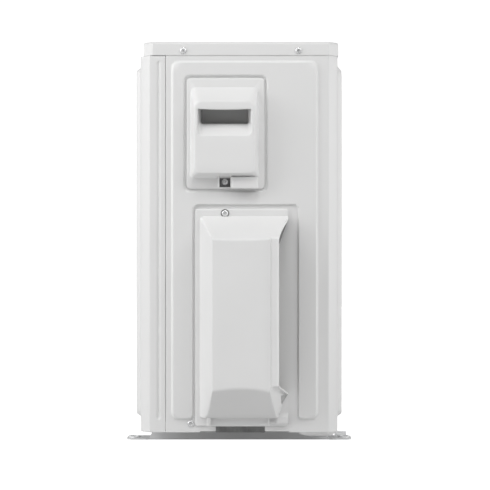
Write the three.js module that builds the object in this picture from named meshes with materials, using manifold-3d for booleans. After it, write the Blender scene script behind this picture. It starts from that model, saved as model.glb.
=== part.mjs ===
// The outdoor unit of a split heat pump: a painted sheet-metal cabinet on two feet, with an axial fan
// behind a round grille, an L-shaped coil, a compressor and its refrigerant circuit, a control box, and on
// the service side (+X) a moulded terminal cover with a finger grip above a moulded cover over the two
// service valves.
// Millimetres, +Z up, -Y is the front (air outlet). The origin is the centre of the bounding box's base,
// on the floor.
import * as THREE from "three";
import { mergeVertices } from "three/addons/utils/BufferGeometryUtils.js";
import Module from "manifold-3d";

const wasm = await Module();
wasm.setup();

// ---- Driving dimensions ---------------------------------------------------------------------------------

const SHEET = 1.2; // panel thickness
const GAP = 0.3; // least clearance between neighbouring pieces
const CHAMFER = 16; // the cabinet's corners, in plan
const CABINET = {
  left: -454.75, right: 390.25, front: -170, rear: 171, bottom: 28, skirt: 677.6, top: 701.4,
};
const X = CABINET.right; // the service side's flat plane
const TUCK = 4; // the panels' edges inside the lid end this far below its flat top
const REAR_WRAP = 262; // how much of the rear the side panel covers, up to the coil
const POST_WIDTH = 62; // each leaf of the rear left corner post
const SEAM = -126.5; // where the front panel meets the side panel, on the service side
const SEAM_GAP = 0.6;

// The feet. Their walls rise under the pan within +-under, and their flat ends carry the anchor slots.
const FOOT = {
  spacing: 532, bolts: 380, width: 54, length: 406, corner: 10, sheet: 2, under: 150, slope: 15,
};
const TAB = { front: 182, rear: 193, high: 7.5 }; // the upturned tab at each foot's rear end
const SLOT = { across: 12, along: 22 };
const FEET_X = [-1, 1].map((side) => (CABINET.left + X) / 2 + (side * FOOT.spacing) / 2);

// The base pan, its rim's inset from the panels' outside, the ledge that its floor steps up to along the
// front and the service side, the notch in it for pipes, and the drain channel along its rear.
const PAN = { rim: 1.7, thick: 1.5, low: 24, high: 46 };
const LEDGE_STEP = { wide: 44, frontWide: 16, rear: 104, low: 31.6 };
const PAN_NOTCH = [-41, 46];
const PAN_EDGE = X - PAN.rim - LEDGE_STEP.wide; // where the floor steps up along the service side
const OVER_LEDGE = LEDGE_STEP.low + PAN.thick + GAP; // what stands on the ledge starts here
const CHANNEL = { ends: 8, front: 108, rear: 165, low: 21, radius: 16 };
const DRAIN = { xs: [-380, -60, 150], y: 135, hole: 9, boss: 14, drop: 2.5 };

// Raised fields: on the front and rear faces, on the service side and on the lid.
const BULGE = { depth: 8, bevel: 8, low: 50.5, high: 661.7, margin: 22, radius: 10 };
const FIELD = {
  depth: 4.5, bevel: 5, front: -117.5, rear: 137.5, low: 48.9, high: 669.2, radius: 16,
};
const LID_FIELD = { ends: 34, sides: 30, radius: 22, rise: 2.5, bevel: 6 };

// The front panel's top edge steps in behind the lid, and a groove runs down its side flange.
const LEDGE = { back: 6.6, ends: 24, ear: 22 };
const GROOVE = { front: -142.7, rear: -134.1, low: 49.3, high: 668.7, depth: 2.2 };

// Pockets in the service side, and the openings in it: y from and to, z from and to.
const TERMINAL_POCKET = { front: -91.4, rear: 45.6, low: 446, high: 639.9, radius: 7 };
const VALVE_POCKET = { front: -77.1, rear: 100.1, low: -20, high: 418, radius: 7 };
const TERMINAL_WINDOW = [-74, 26, 463, 622];
const VALVE_WINDOW = [-62, 62, 94, 388];
const PIPE_NOTCH = [-39.8, 44.9, 0, 60];
const STEP_UP = [-66.9, 86.5, 0, 31];

// The covers. Rectangles are y from and to, z from and to.
const TERMINAL_COVER = {
  proud: 35, wall: 2.5, flange: 4,
  rim: [-89.9, 44.1, 447.5, 638.4], base: [-81, 33.9, 466, 620.8], face: [-72.7, 27.7, 474.2, 593.3],
  screwPocket: [-35.5, -12, 449, 470], duct: [-12.2, 32, 447.5, 467], ductDepth: 22,
  tongue: [-60, -40, 618.5, 620.2],
};
const GRIP = { front: -68, rear: 19.2, low: 532.9, high: 580.6, ramp: 560.6, roof: 597, lip: 30, depth: 42 };
const VALVE_COVER = {
  proud: 66, wall: 2.5, flange: 3, ledge: 13,
  rim: [-75.7, 85.5, 38.6, 413.7], base: [-67, 84, 53.4, 400.7], face: [-44.9, 67.7, 105, 361.8],
  pipeExit: [58, 100, 100, 372], tongues: [112, 350],
};

// Screws on the service side: y and z.
const TERMINAL_SCREW = [-23.7, 459.5];
const VALVE_SCREW = [-23.7, 405.5];
const LID_SCREWS = [[-95.7, 686], [102.7, 686]];
const BASE_SCREW = [-82.8, 43.3];
const SIDE_SCREWS = [...LID_SCREWS, BASE_SCREW];

// Air side.
const FAN = { x: -165, z: 356, opening: 243, blade: 230, hub: 46, front: -150, rear: -64 };
const BLADE = { count: 3, thick: 3, wrap: 1.35, taper: 0.1, sweep: 0.25, camber: 0.12, lift: 0.15 };
const SHROUD = { r: 238, thick: 2, flange: 258, rear: -118 };
const GRILLE = {
  rim: 262, inner: 247, rings: 4, first: 88, pitch: 40, bar: 3, hub: 46, spokes: 8, proud: 12,
};
const SHAFT = 6;
const MOTOR = { r: 52, front: -57, rear: 12, plate: 0, ears: 82 };
const BRACKET = { post: 72, half: 15, depth: 22, sheet: 1.5, low: 26, high: 672, tie: 60, tieHalf: 12 };
const COIL = {
  thick: 36, low: 46, high: 668, bend: 70, rearFace: 160, leftFace: -440, end: 118, front: -112, plate: 1.5,
};
const NET = { bar: 3, low: 60, high: 672, level: 8 };
const REAR_NET = { from: CABINET.left + 50, to: 136, upright: 7 };
const LEFT_NET = { from: -132, to: 114, upright: 4 };

// Electrical parts.
const BOX = { left: 60, right: 352, front: -150, rear: 100, low: 566, high: 672, wall: 1.5 };
const TERMINAL = { x: 356, front: -78, rear: 30, low: 440, high: 565, sheet: 1.5, shelf: 20 };
const BLOCK = { front: -68, rear: 20, low: 480, high: 516, walls: 6, pitch: 17.2 };

// Refrigerant circuit.
const COMPRESSOR = { x: 226, y: -36, r: 60, low: 56, high: 330, ears: 84 };
const ACCUMULATOR = { x: 322, y: -72, r: 29, low: 84, high: 262 };
const VALVE_PLATE = { x: 372, thick: 2.2, y: 60, low: 96, high: 386, foot: 24 };
const VALVE_X = VALVE_PLATE.x + VALVE_PLATE.thick + GAP; // the service valves' seat on their plate
const VALVE_Y = -8;
const GAS_VALVE = { z: 170, r: 13 };
const LIQUID_VALVE = { z: 292, r: 10 };
const REVERSER = { x: 250, y: 20, z: 440, r: 13, half: 52 };
const EXPANDER = { x: 296, y: 88, low: 300, r: 9 };

// ---- Materials ------------------------------------------------------------------------------------------

const finish = (color, roughness, metalness) =>
  new THREE.MeshStandardMaterial({ color, roughness, metalness });
const PAINT = finish("#dededc", 0.45, 0.1);
const COVER_PLASTIC = finish("#e4e4e2", 0.5, 0);
const GRILLE_PLASTIC = finish("#d6d6d4", 0.5, 0);
const STEEL = finish("#b9bcbe", 0.35, 0.9);
const GALVANISED = finish("#a9adb0", 0.45, 0.85);
const ALUMINIUM = finish("#c9ccd0", 0.4, 0.9);
const COPPER = finish("#b8714a", 0.35, 0.95);
const BRASS = finish("#b99a55", 0.35, 0.95);
const BLACK_PAINT = finish("#1f2022", 0.55, 0.2);
const BLACK_PLASTIC = finish("#26272a", 0.6, 0);
const FAN_PLASTIC = finish("#3a3c3f", 0.55, 0);
const RUBBER = finish("#1a1a1b", 0.9, 0);
const BOARD_GREEN = finish("#2f6b3f", 0.5, 0.1);

// ---- Solid helpers --------------------------------------------------------------------------------------

// A closed three.js geometry as a manifold-3d solid, turned to face outwards if it winds the other way.
function solid(geometry) {
  const bare = geometry.index ? geometry.toNonIndexed() : geometry.clone();
  bare.deleteAttribute("normal");
  bare.deleteAttribute("uv");
  const merged = mergeVertices(bare, 1e-4);
  const vertProperties = merged.attributes.position.array;
  const triVerts = new Uint32Array(merged.index.array);
  const made = new wasm.Manifold(new wasm.Mesh({ numProp: 3, vertProperties, triVerts }));
  if (made.volume() > 0) return made;
  for (let i = 0; i < triVerts.length; i += 3) {
    [triVerts[i], triVerts[i + 1]] = [triVerts[i + 1], triVerts[i]];
  }
  return new wasm.Manifold(new wasm.Mesh({ numProp: 3, vertProperties, triVerts }));
}

const join = (...solids) => solids.reduce((a, b) => a.add(b));
const cut = (body, ...tools) => tools.reduce((a, b) => a.subtract(b), body);

// A box from its lowest to its highest corner.
function block(x0, x1, y0, y1, z0, z1) {
  const g = new THREE.BoxGeometry(x1 - x0, y1 - y0, z1 - z0);
  return solid(g.translate((x0 + x1) / 2, (y0 + y1) / 2, (z0 + z1) / 2));
}

// Turns an extrusion made along Z so that it runs along the named axis, with its outline's u and v as the
// next two axes in the cycle X, Y, Z.
function turn(geometry, axis) {
  const basis = {
    z: [[1, 0, 0], [0, 1, 0], [0, 0, 1]],
    x: [[0, 1, 0], [0, 0, 1], [1, 0, 0]],
    y: [[0, 0, 1], [1, 0, 0], [0, 1, 0]],
  }[axis].map((v) => new THREE.Vector3(...v));
  return geometry.applyMatrix4(new THREE.Matrix4().makeBasis(...basis));
}

const outline = (points) => new THREE.Shape(points.map(([u, v]) => new THREE.Vector2(u, v)));

// An outline pushed along an axis. On axis x the points are [y, z], on y [z, x] and on z [x, y].
function prism(axis, shape, from, to, curveSegments = 4) {
  const g = new THREE.ExtrudeGeometry(shape, { depth: to - from, bevelEnabled: false, curveSegments });
  return solid(turn(g.translate(0, 0, from), axis));
}

// A rectangle with round corners, from its lowest to its highest u and v.
function roundRect(u0, u1, v0, v1, r) {
  const s = new THREE.Shape();
  s.absarc(u1 - r, v0 + r, r, -Math.PI / 2, 0);
  s.absarc(u1 - r, v1 - r, r, 0, Math.PI / 2);
  s.absarc(u0 + r, v1 - r, r, Math.PI / 2, Math.PI);
  s.absarc(u0 + r, v0 + r, r, Math.PI, 1.5 * Math.PI);
  return s;
}

// A straight-sided field that rises from `from` to `to` along an axis and narrows by `inset` all round.
function pad(axis, shape, from, to, inset, curveSegments = 3) {
  const rise = Math.abs(to - from);
  const g = new THREE.ExtrudeGeometry(shape, {
    depth: 1,
    bevelEnabled: true,
    bevelThickness: rise,
    bevelSize: inset,
    bevelOffset: -inset,
    bevelSegments: 1,
    curveSegments,
  });
  const both = solid(turn(g.translate(0, 0, to > from ? from - 1 : from), axis));
  const far = 1000;
  const keep = to > from ? [from, far] : [-far, from];
  const all = [-far, far];
  const span = { x: [...keep, ...all, ...all], y: [...all, ...keep, ...all], z: [...all, ...all, ...keep] };
  return both.intersect(block(...span[axis]));
}

// A tapered box between two rectangles [y0, y1, z0, z1] that lie at x = from and x = to.
function taperX(base, face, from, to) {
  const g = new THREE.BoxGeometry(1, 1, 1);
  const p = g.attributes.position;
  for (let i = 0; i < p.count; i++) {
    const r = p.getX(i) > 0 ? face : base;
    p.setXYZ(i, p.getX(i) > 0 ? to : from, p.getY(i) > 0 ? r[1] : r[0], p.getZ(i) > 0 ? r[3] : r[2]);
  }
  return solid(g);
}

// A solid of revolution. The profile's points are [radius, height] along the axis, from the axis and back.
function turned(profile, axis, at, segments = 16) {
  const g = new THREE.LatheGeometry(profile.map(([r, h]) => new THREE.Vector2(r, h)), segments);
  g.rotateX(Math.PI / 2);
  return solid(turn(g, axis).translate(...at));
}

const rod = (r, from, to, axis, at, segments) =>
  turned([[0, from], [r, from], [r, to], [0, to]], axis, at, segments);
const tube = (ri, ro, from, to, axis, at, segments) =>
  turned([[ri, from], [ro, from], [ro, to], [ri, to], [ri, from]], axis, at, segments);
const hexRod = (r, from, to, axis, at) => rod(r, from, to, axis, at, 6);

// A bent round pipe through the given points, rounded at its corners.
function pipe(points, radius, steps, sides = 8) {
  const path = new THREE.CatmullRomCurve3(points.map((p) => new THREE.Vector3(...p)), false, "centripetal");
  const ring = Array.from({ length: sides }, (_, i) => {
    const a = (2 * Math.PI * (i + 0.5)) / sides;
    return [radius * Math.cos(a), radius * Math.sin(a)];
  });
  return solid(new THREE.ExtrudeGeometry(outline(ring), { steps, extrudePath: path, curveSegments: 1 }));
}

// ---- Named pieces ---------------------------------------------------------------------------------------

const root = new THREE.Group();

function add(name, body, material) {
  const { vertProperties, triVerts } = body.getMesh();
  const g = new THREE.BufferGeometry();
  g.setAttribute("position", new THREE.BufferAttribute(new Float32Array(vertProperties), 3));
  g.setIndex(new THREE.BufferAttribute(new Uint32Array(triVerts), 1));
  g.computeVertexNormals();
  const mesh = new THREE.Mesh(g, material);
  mesh.name = name;
  root.add(mesh);
}

// A pan-head screw that points along -X, with its head's seat at x.
function screw(x, [y, z]) {
  const [head, shank] = [5.5, 2];
  const profile = [[0, -8], [shank, -8], [shank, 0], [head, 0], [head, 0.9], [head * 0.62, 2.6], [0, 3]];
  return turned(profile, "x", [x, y, z], 10);
}

const screwHole = ([y, z]) => rod(2.4, -8, 8, "x", [X, y, z], 8);

// ---- Cabinet --------------------------------------------------------------------------------------------

// A sheet between an outer path in plan and the same path moved in by the sheet's thickness.
function bentSheet(outer, inner, low, high) {
  return prism("z", outline([...outer, ...inner.reverse()]), low, high);
}

// The plan of the cabinet's outside, or of one lying `by` inside it: corner pairs of each chamfer.
function plan(by, c = CABINET, chamfer = CHAMFER) {
  const slant = by * Math.tan(Math.PI / 8); // how far an offset moves a chamfer's ends
  const k = chamfer + slant;
  return {
    rightFront: [[c.right - by, c.front + k], [c.right - k, c.front + by]],
    leftFront: [[c.left + k, c.front + by], [c.left + by, c.front + k]],
    leftRear: [[c.left + by, c.rear - k], [c.left + k, c.rear - by]],
    rightRear: [[c.right - k, c.rear - by], [c.right - by, c.rear - k]],
  };
}

// The cabinet's whole outline in plan, `by` inside the outside of the panels.
function ringPlan(by, c = CABINET, chamfer = CHAMFER) {
  const p = plan(by, c, chamfer);
  const corners = [p.leftFront, p.rightFront, p.rightRear, p.leftRear];
  return outline(corners.flatMap((pair) => pair.slice().reverse()));
}

// The raised field of the front or rear face between two x, `by` inside its outer surface.
function bulge(face, out, x0, x1, by) {
  const { low, high, depth, bevel, margin, radius } = BULGE;
  const shape = roundRect(low + by, high - by, x0 + margin + by, x1 - margin - by, radius);
  return pad("y", shape, face - out * by, face + out * (depth - by), bevel);
}

function frontPanel() {
  const [o, i] = [plan(0), plan(SHEET)];
  const path = (p, by) => [[X - by, SEAM], ...p.rightFront, ...p.leftFront, [CABINET.left + by, SEAM]];
  const top = CABINET.skirt - GAP;
  const shell = bentSheet(path(o, 0), path(i, SHEET), CABINET.bottom, top);
  const field = (by) => bulge(CABINET.front, -1, CABINET.left, X, by);
  const [left, right] = [CABINET.left + LEDGE.ends, X - LEDGE.ends];
  const back = CABINET.front + LEDGE.back;
  const ledge = block(left, right, CABINET.front + 0.2, back + SHEET, top - SHEET, top);
  const tab = block(left, right, back, back + SHEET, top - SHEET, CABINET.top - TUCK);
  const earFront = CABINET.front + LEDGE.ear;
  const ear = (x) => block(x, x + SHEET, earFront, SEAM, top - 1, CABINET.top - TUCK);
  const g = GROOVE;
  const groove = (x, by) => block(x, x + 3, g.front - by, g.rear + by, g.low - by, g.high + by);
  const hole = rod(FAN.opening, -20, 20, "y", [FAN.x, CABINET.front, FAN.z], 48);
  const dent = groove(X - g.depth - SHEET, SHEET);
  const body = join(shell, field(0), ledge, tab, ear(X - SHEET), ear(CABINET.left), dent);
  return cut(body, field(SHEET), groove(X - g.depth, 0), hole);
}

// The service side and part of the rear. Its raised field is hollow behind and stops round the two
// pockets, where a rim runs down to the flat.
function sidePanel() {
  const [o, i] = [plan(0), plan(SHEET)];
  const inner = X - REAR_WRAP;
  const path = (p, by) => [
    [X - by, SEAM + SEAM_GAP], ...p.rightRear.slice().reverse(), [inner, CABINET.rear - by],
  ];
  const shell = bentSheet(path(o, 0), path(i, SHEET), CABINET.bottom, CABINET.top - TUCK);
  const f = FIELD;
  const field = (by) => {
    const shape = roundRect(f.front + by, f.rear - by, f.low + by, f.high - by, f.radius);
    return pad("x", shape, X - by, X + f.depth - by, f.bevel);
  };
  const pocket = (p, by) => {
    const shape = roundRect(p.front - by, p.rear + by, p.low - by, p.high + by, p.radius);
    return prism("x", shape, X - 3, X + f.depth + 1);
  };
  const pockets = (by) => pocket(TERMINAL_POCKET, by).add(pocket(VALVE_POCKET, by));
  const slab = (x0, x1) => block(x0, x1, -200, 200, 0, 700);
  const raised = cut(field(0), field(SHEET)).add(pockets(SHEET).intersect(field(0)));
  const skin = cut(raised, pockets(0).intersect(slab(X, X + 9)));
  const hollow = cut(field(SHEET).intersect(slab(X - 3, X)), pockets(SHEET));
  const rearField = (by) => bulge(CABINET.rear, 1, inner, X, by);
  const openings = [TERMINAL_WINDOW, VALVE_WINDOW, PIPE_NOTCH, STEP_UP].map((w) => block(X - 6, X + 2, ...w));
  const holes = [...SIDE_SCREWS, TERMINAL_SCREW, VALVE_SCREW].map(screwHole);
  return cut(join(cut(shell, hollow), skin, rearField(0)), rearField(SHEET), ...openings, ...holes);
}

// The lid. Its skirt overlaps the panels at the sides and the rear, and stands back at the front.
function topCover() {
  const lid = {
    left: CABINET.left - 1.5, right: X + 1.5, front: CABINET.front + 5, rear: CABINET.rear + 1.5,
  };
  const ring = (by) => ringPlan(by, lid, CHAMFER + 0.7);
  const { ends, sides, radius, rise, bevel } = LID_FIELD;
  const field = (by) => {
    const [x0, x1] = [lid.left + ends + by, lid.right - ends - by];
    const shape = roundRect(x0, x1, lid.front + sides + by, lid.rear - sides - by, radius);
    return pad("z", shape, CABINET.top - by, CABINET.top + rise - by, bevel);
  };
  const outer = prism("z", ring(0), CABINET.skirt, CABINET.top).add(field(0));
  const inside = prism("z", ring(SHEET), CABINET.skirt - 1, CABINET.top - SHEET);
  const holes = LID_SCREWS.map(screwHole);
  return cut(outer, inside, field(SHEET), ...holes);
}

// A tray with a turned-up rim and, under the coil, a deeper channel with bossed drain holes in it. Its
// floor steps up to a ledge along the front and the service side, and is notched below the valves.
function basePan() {
  const { rim, thick, low, high } = PAN;
  const { ends, front, rear, low: bottom, radius } = CHANNEL;
  const outside = prism("z", ringPlan(rim), low, high);
  const inside = prism("z", ringPlan(rim + thick), low + thick, high + 1);
  const ledge = (by, from) => {
    const [edge, top] = [PAN_EDGE - by, LEDGE_STEP.low + by];
    const side = block(edge, X, CABINET.front, LEDGE_STEP.rear + by, from, top);
    const frontEnd = CABINET.front + rim + LEDGE_STEP.frontWide + by;
    return side.add(block(CABINET.left, X, CABINET.front, frontEnd, from, top));
  };
  const raised = cut(outside, inside).add(ledge(thick, low).intersect(outside));
  const notch = block(PAN_EDGE - thick - GAP, X, ...PAN_NOTCH, low - 1, high + 1);
  const tray = cut(raised, ledge(0, low - 1), notch);
  const trough = (by, from, to) => {
    const [x0, x1] = [CABINET.left + ends + by, X - ends - by];
    return prism("z", roundRect(x0, x1, front + by, rear - by, radius), from, to);
  };
  const drains = (r, from, to) => join(...DRAIN.xs.map((x) => rod(r, from, to, "z", [x, DRAIN.y, 0], 16)));
  const bossLow = bottom - DRAIN.drop;
  const body = join(tray, trough(0, bottom, low + thick), drains(DRAIN.boss, bossLow, bottom + 1));
  const hollow = trough(thick, bottom + thick, low + thick + 1);
  return cut(body, hollow, drains(DRAIN.hole, bossLow - 1, low), screwHole(BASE_SCREW));
}

// A channel that stands on the floor. Its flat round ends carry the anchor slots and its walls carry the
// base pan.
function foot(x) {
  const [half, end, w] = [FOOT.width / 2, FOOT.length / 2, FOOT.sheet];
  const plate = prism("z", roundRect(x - half, x + half, -end, end, FOOT.corner), 0, w);
  const tab = block(x - half, x - half + w, TAB.front, TAB.rear, 0, TAB.high);
  const [underPan, underChannel, step] = [PAN.low - GAP, CHANNEL.low - GAP, CHANNEL.front - 2 * GAP];
  const side = outline([
    [-FOOT.under - FOOT.slope, w / 2],
    [FOOT.under + FOOT.slope, w / 2],
    [FOOT.under, underChannel],
    [step, underChannel],
    [step, underPan],
    [-FOOT.under, underPan],
  ]);
  const wall = (x0) => prism("x", side, x0, x0 + w);
  const [along, across] = [SLOT.along / 2, SLOT.across / 2];
  const slot = (y) =>
    prism("z", roundRect(x - along, x + along, y - across, y + across, across - 0.01), -1, w + 1);
  const body = join(plate, wall(x - half), wall(x + half - w), tab);
  return cut(body, slot(-FOOT.bolts / 2), slot(FOOT.bolts / 2));
}

// The post at the rear left corner, a bent strip that carries the lid and both coil guards.
function cornerPost() {
  const [o, i] = [plan(0), plan(SHEET)];
  const path = (p, by) => [
    [CABINET.left + POST_WIDTH, CABINET.rear - by],
    ...p.leftRear.slice().reverse(),
    [CABINET.left + by, CABINET.rear - POST_WIDTH],
  ];
  return bentSheet(path(o, 0), path(i, SHEET), CABINET.bottom, CABINET.top - TUCK);
}

// A net of square bars. bar(u, du, z, dz) makes one bar in the net's own plane.
function net(bar, { from, to, upright }) {
  const at = (low, high, i, n) => low + ((high - low) * i) / (n - 1);
  const bars = [];
  for (let i = 0; i < upright; i++) {
    bars.push(bar(at(from, to - NET.bar, i, upright), NET.bar, NET.low, NET.high - NET.low));
  }
  for (let i = 0; i < NET.level; i++) {
    bars.push(bar(from, to - from, at(NET.low, NET.high - NET.bar, i, NET.level), NET.bar));
  }
  return join(...bars);
}

function rearGuard() {
  const y = CABINET.rear - SHEET - GAP - NET.bar;
  return net((x, dx, z, dz) => block(x, x + dx, y, y + NET.bar, z, z + dz), REAR_NET);
}

function leftGuard() {
  const x = CABINET.left + SHEET + GAP;
  return net((y, dy, z, dz) => block(x, x + NET.bar, y, y + dy, z, z + dz), LEFT_NET);
}

// ---- Air side -------------------------------------------------------------------------------------------

const FACE = CABINET.front - BULGE.depth; // the front panel's raised face
const FAN_AXIS = [FAN.x, 0, FAN.z];

function fanShroud() {
  const { r, thick, flange, rear } = SHROUD;
  const seat = FACE + SHEET + GAP;
  const profile = [
    [r, seat],
    [flange, seat],
    [flange, seat + thick],
    [r + thick, seat + thick],
    [r + thick, rear],
    [r, rear],
    [r, seat],
  ];
  return turned(profile, "y", FAN_AXIS, 40);
}

// A rim, a hub, coarse rings and the spokes behind them, which run into the hub and the rim.
function fanGrille() {
  const { rim, inner, rings, first, pitch, bar, hub, spokes } = GRILLE;
  const front = FACE - GRILLE.proud;
  const hoop = (_, i) => {
    const r = first + i * pitch;
    return tube(r, r + bar, front, front + 4, "y", FAN_AXIS, 24);
  };
  const [from, to] = [hub - 1, inner + 3];
  const spoke = (_, i) => {
    const g = new THREE.BoxGeometry(to - from, 6, bar).translate((to + from) / 2, 0, 0);
    return solid(g.rotateY((2 * Math.PI * i) / spokes).translate(FAN.x, front + 6, FAN.z));
  };
  return join(
    tube(inner, rim, front + 5, FACE - GAP, "y", FAN_AXIS, 40),
    rod(hub, front, front + 5, "y", FAN_AXIS, 28),
    ...Array.from({ length: rings }, hoop),
    ...Array.from({ length: spokes }, spoke),
  );
}

// One blade: a plate that sweeps round the axis as it runs from the front of the fan to the back.
function blade(_, index) {
  const g = new THREE.BoxGeometry(1, 1, 1, 5, 8, 1);
  const p = g.attributes.position;
  const inner = FAN.hub - 4;
  const margin = 4;
  for (let i = 0; i < p.count; i++) {
    const out = p.getX(i) + 0.5;
    const round = p.getY(i) + 0.5;
    const r = inner + out * (FAN.blade - inner);
    const width = (round - 0.5) * (BLADE.wrap - BLADE.taper * out);
    const angle = (2 * Math.PI * index) / BLADE.count + BLADE.sweep * out * out + width;
    const along = (round - BLADE.camber * Math.sin(Math.PI * round)) * (1 - BLADE.lift * out);
    const y = FAN.front + margin + (FAN.rear - FAN.front - 2 * margin) * along;
    p.setXYZ(i, r * Math.cos(angle), y + p.getZ(i) * BLADE.thick, r * Math.sin(angle));
  }
  return solid(g);
}

// The moulded fan: a cup-shaped hub with a boss for the shaft, and the blades round it.
function fanBlades() {
  const { hub, front, rear } = FAN;
  const [skin, floor] = [3, front + 18];
  const profile = [
    [0, front + 3],
    [hub - 10, front + 3],
    [hub, front + 14],
    [hub, rear],
    [hub - skin, rear],
    [hub - skin, floor],
    [0, floor],
  ];
  const centre = [0, 0, 0];
  const inside = rod(hub - skin, floor, rear + 1, "y", centre, 24);
  const blades = Array.from({ length: BLADE.count }, blade).map((b) => cut(b, inside));
  const boss = rod(14, front + 15, rear - 14, "y", centre, 12);
  const bore = rod(SHAFT + GAP, -200, 0, "y", centre, 12);
  return cut(join(turned(profile, "y", centre, 24), ...blades, boss), bore).translate(...FAN_AXIS);
}

const motorShaft = () => rod(SHAFT, FAN.front - 2.5, -36, "y", FAN_AXIS, 12);

function fanNut() {
  const bore = rod(SHAFT + GAP, FAN.front - 3, 0, "y", FAN_AXIS, 12);
  return cut(hexRod(11, FAN.front - 7, FAN.front + 2.7, "y", FAN_AXIS), bore);
}

// A round can with a bearing nose, on the plate that fixes it to its bracket.
function fanMotor() {
  const { r, front, rear, plate, ears } = MOTOR;
  const profile = [
    [0, front - 5],
    [16, front - 5],
    [16, front],
    [44, front],
    [r, front + 8],
    [r, rear - 8],
    [40, rear],
    [0, rear],
  ];
  const centre = [0, 0, 0];
  const flange = prism("y", roundRect(-50, 50, -ears, ears, 12), plate, plate + 3);
  const bore = rod(SHAFT + 0.5, -80, -34, "y", centre, 12);
  return cut(turned(profile, "y", centre, 24).add(flange), bore).translate(...FAN_AXIS);
}

// Two upright channels that stand on the base pan and carry the fan motor's plate, tied together.
function motorBracket() {
  const { post, half, depth, sheet, low, high, tie, tieHalf } = BRACKET;
  const y = MOTOR.plate + 3 + GAP;
  const channel = (x) => {
    const hollow = block(x - half + sheet, x + half - sheet, y + sheet, y + depth + 1, low - 1, high + 1);
    return cut(block(x - half, x + half, y, y + depth, low, high), hollow);
  };
  const across = (z) => block(FAN.x - tie, FAN.x + tie, y, y + sheet, z - tieHalf, z + tieHalf);
  const ties = [low + 34, FAN.z - 78, FAN.z + 78, high - 32].map(across);
  return join(channel(FAN.x - post), channel(FAN.x + post), ...ties);
}

// The finned block in plan: a leg along the left side, a bend and a leg along the rear.
function coil() {
  const { thick, bend, rearFace, leftFace, end, front, low, high } = COIL;
  const s = new THREE.Shape();
  s.moveTo(leftFace, front);
  s.lineTo(leftFace + thick, front);
  s.lineTo(leftFace + thick, rearFace - bend);
  s.absarc(leftFace + bend, rearFace - bend, bend - thick, Math.PI, Math.PI / 2, true);
  s.lineTo(end, rearFace - thick);
  s.lineTo(end, rearFace);
  s.lineTo(leftFace + bend, rearFace);
  s.absarc(leftFace + bend, rearFace - bend, bend, Math.PI / 2, Math.PI, false);
  return prism("z", s, low, high, 8);
}

function coilPlateLeft() {
  const { leftFace, thick, front, plate, low, high } = COIL;
  return block(leftFace - 2, leftFace + thick + 2, front - GAP - plate, front - GAP, low, high);
}

function coilPlateRight() {
  const { rearFace, thick, end, plate, low, high } = COIL;
  return block(end + GAP, end + GAP + plate, rearFace - thick - 2, rearFace + 2, low, high);
}

// The bent plate that divides the fan's chamber from the compressor's.
function partition() {
  const path = [[150, -166], [150, -50], [123, 20], [123, 121]];
  const back = path.map(([x, y]) => [x + SHEET, y]).reverse();
  const wall = prism("z", outline([...path, ...back]), 26, 562);
  return cut(wall, block(140, 160, -170, -150, 20, OVER_LEDGE));
}

// ---- Electrical parts -----------------------------------------------------------------------------------

function controlBox() {
  const { left, right, front, rear, low, high, wall } = BOX;
  const inside = block(left + wall, right - wall, front + wall, rear - wall, low + wall, high + 1);
  return cut(block(left, right, front, rear, low, high), inside);
}

function controlBoard() {
  const { left, right, front, rear, low } = BOX;
  return block(left + 12, right - 60, front + 12, rear - 12, low + 14, low + 16);
}

const reactor = () => block(BOX.right - 50, BOX.right - 10, -60, 0, BOX.low + 3, BOX.low + 45);

// Six fins under the control box, in the fan's air.
function heatSink() {
  const { left, low } = BOX;
  const [x, front, rear, pitch, thick] = [left + 6, -80, 40, 10, 3];
  const fin = (_, i) => block(x + i * pitch, x + i * pitch + thick, front, rear, low - 36, low - 5);
  const base = block(x, x + 5 * pitch + thick, front, rear, low - 6, low - GAP);
  return join(base, ...Array.from({ length: 6 }, fin));
}

// The bracket behind the terminal window, hung from the control box.
function terminalPlate() {
  const { x, front, rear, low, high, sheet, shelf } = TERMINAL;
  const upright = block(x, x + sheet, front, rear, low, high);
  return join(upright, block(x - shelf, x + sheet, front, rear, high - sheet, high));
}

const TERMINAL_SEAT = TERMINAL.x + TERMINAL.sheet + GAP;

function terminalBlock() {
  const { front, rear, low, high, walls, pitch } = BLOCK;
  const wall = (_, i) => {
    const y = front + i * pitch;
    return block(TERMINAL_SEAT, TERMINAL_SEAT + 16, y, y + 2, low, high);
  };
  const base = block(TERMINAL_SEAT, TERMINAL_SEAT + 9, front, rear, low, high);
  return join(base, ...Array.from({ length: walls }, wall));
}

function cableClamp() {
  const x = TERMINAL_SEAT;
  return cut(block(x, x + 14, -40, 12, 450, 462), block(x - 1, x + 8, -32, 4, 440, 470));
}

// ---- Covers on the service side -------------------------------------------------------------------------

const widen = ([y0, y1, z0, z1], by) => [y0 - by, y1 + by, z0 - by, z1 + by];
const roundedRect = ([y0, y1, z0, z1], r) => roundRect(y0, y1, z0, z1, r);

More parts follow.
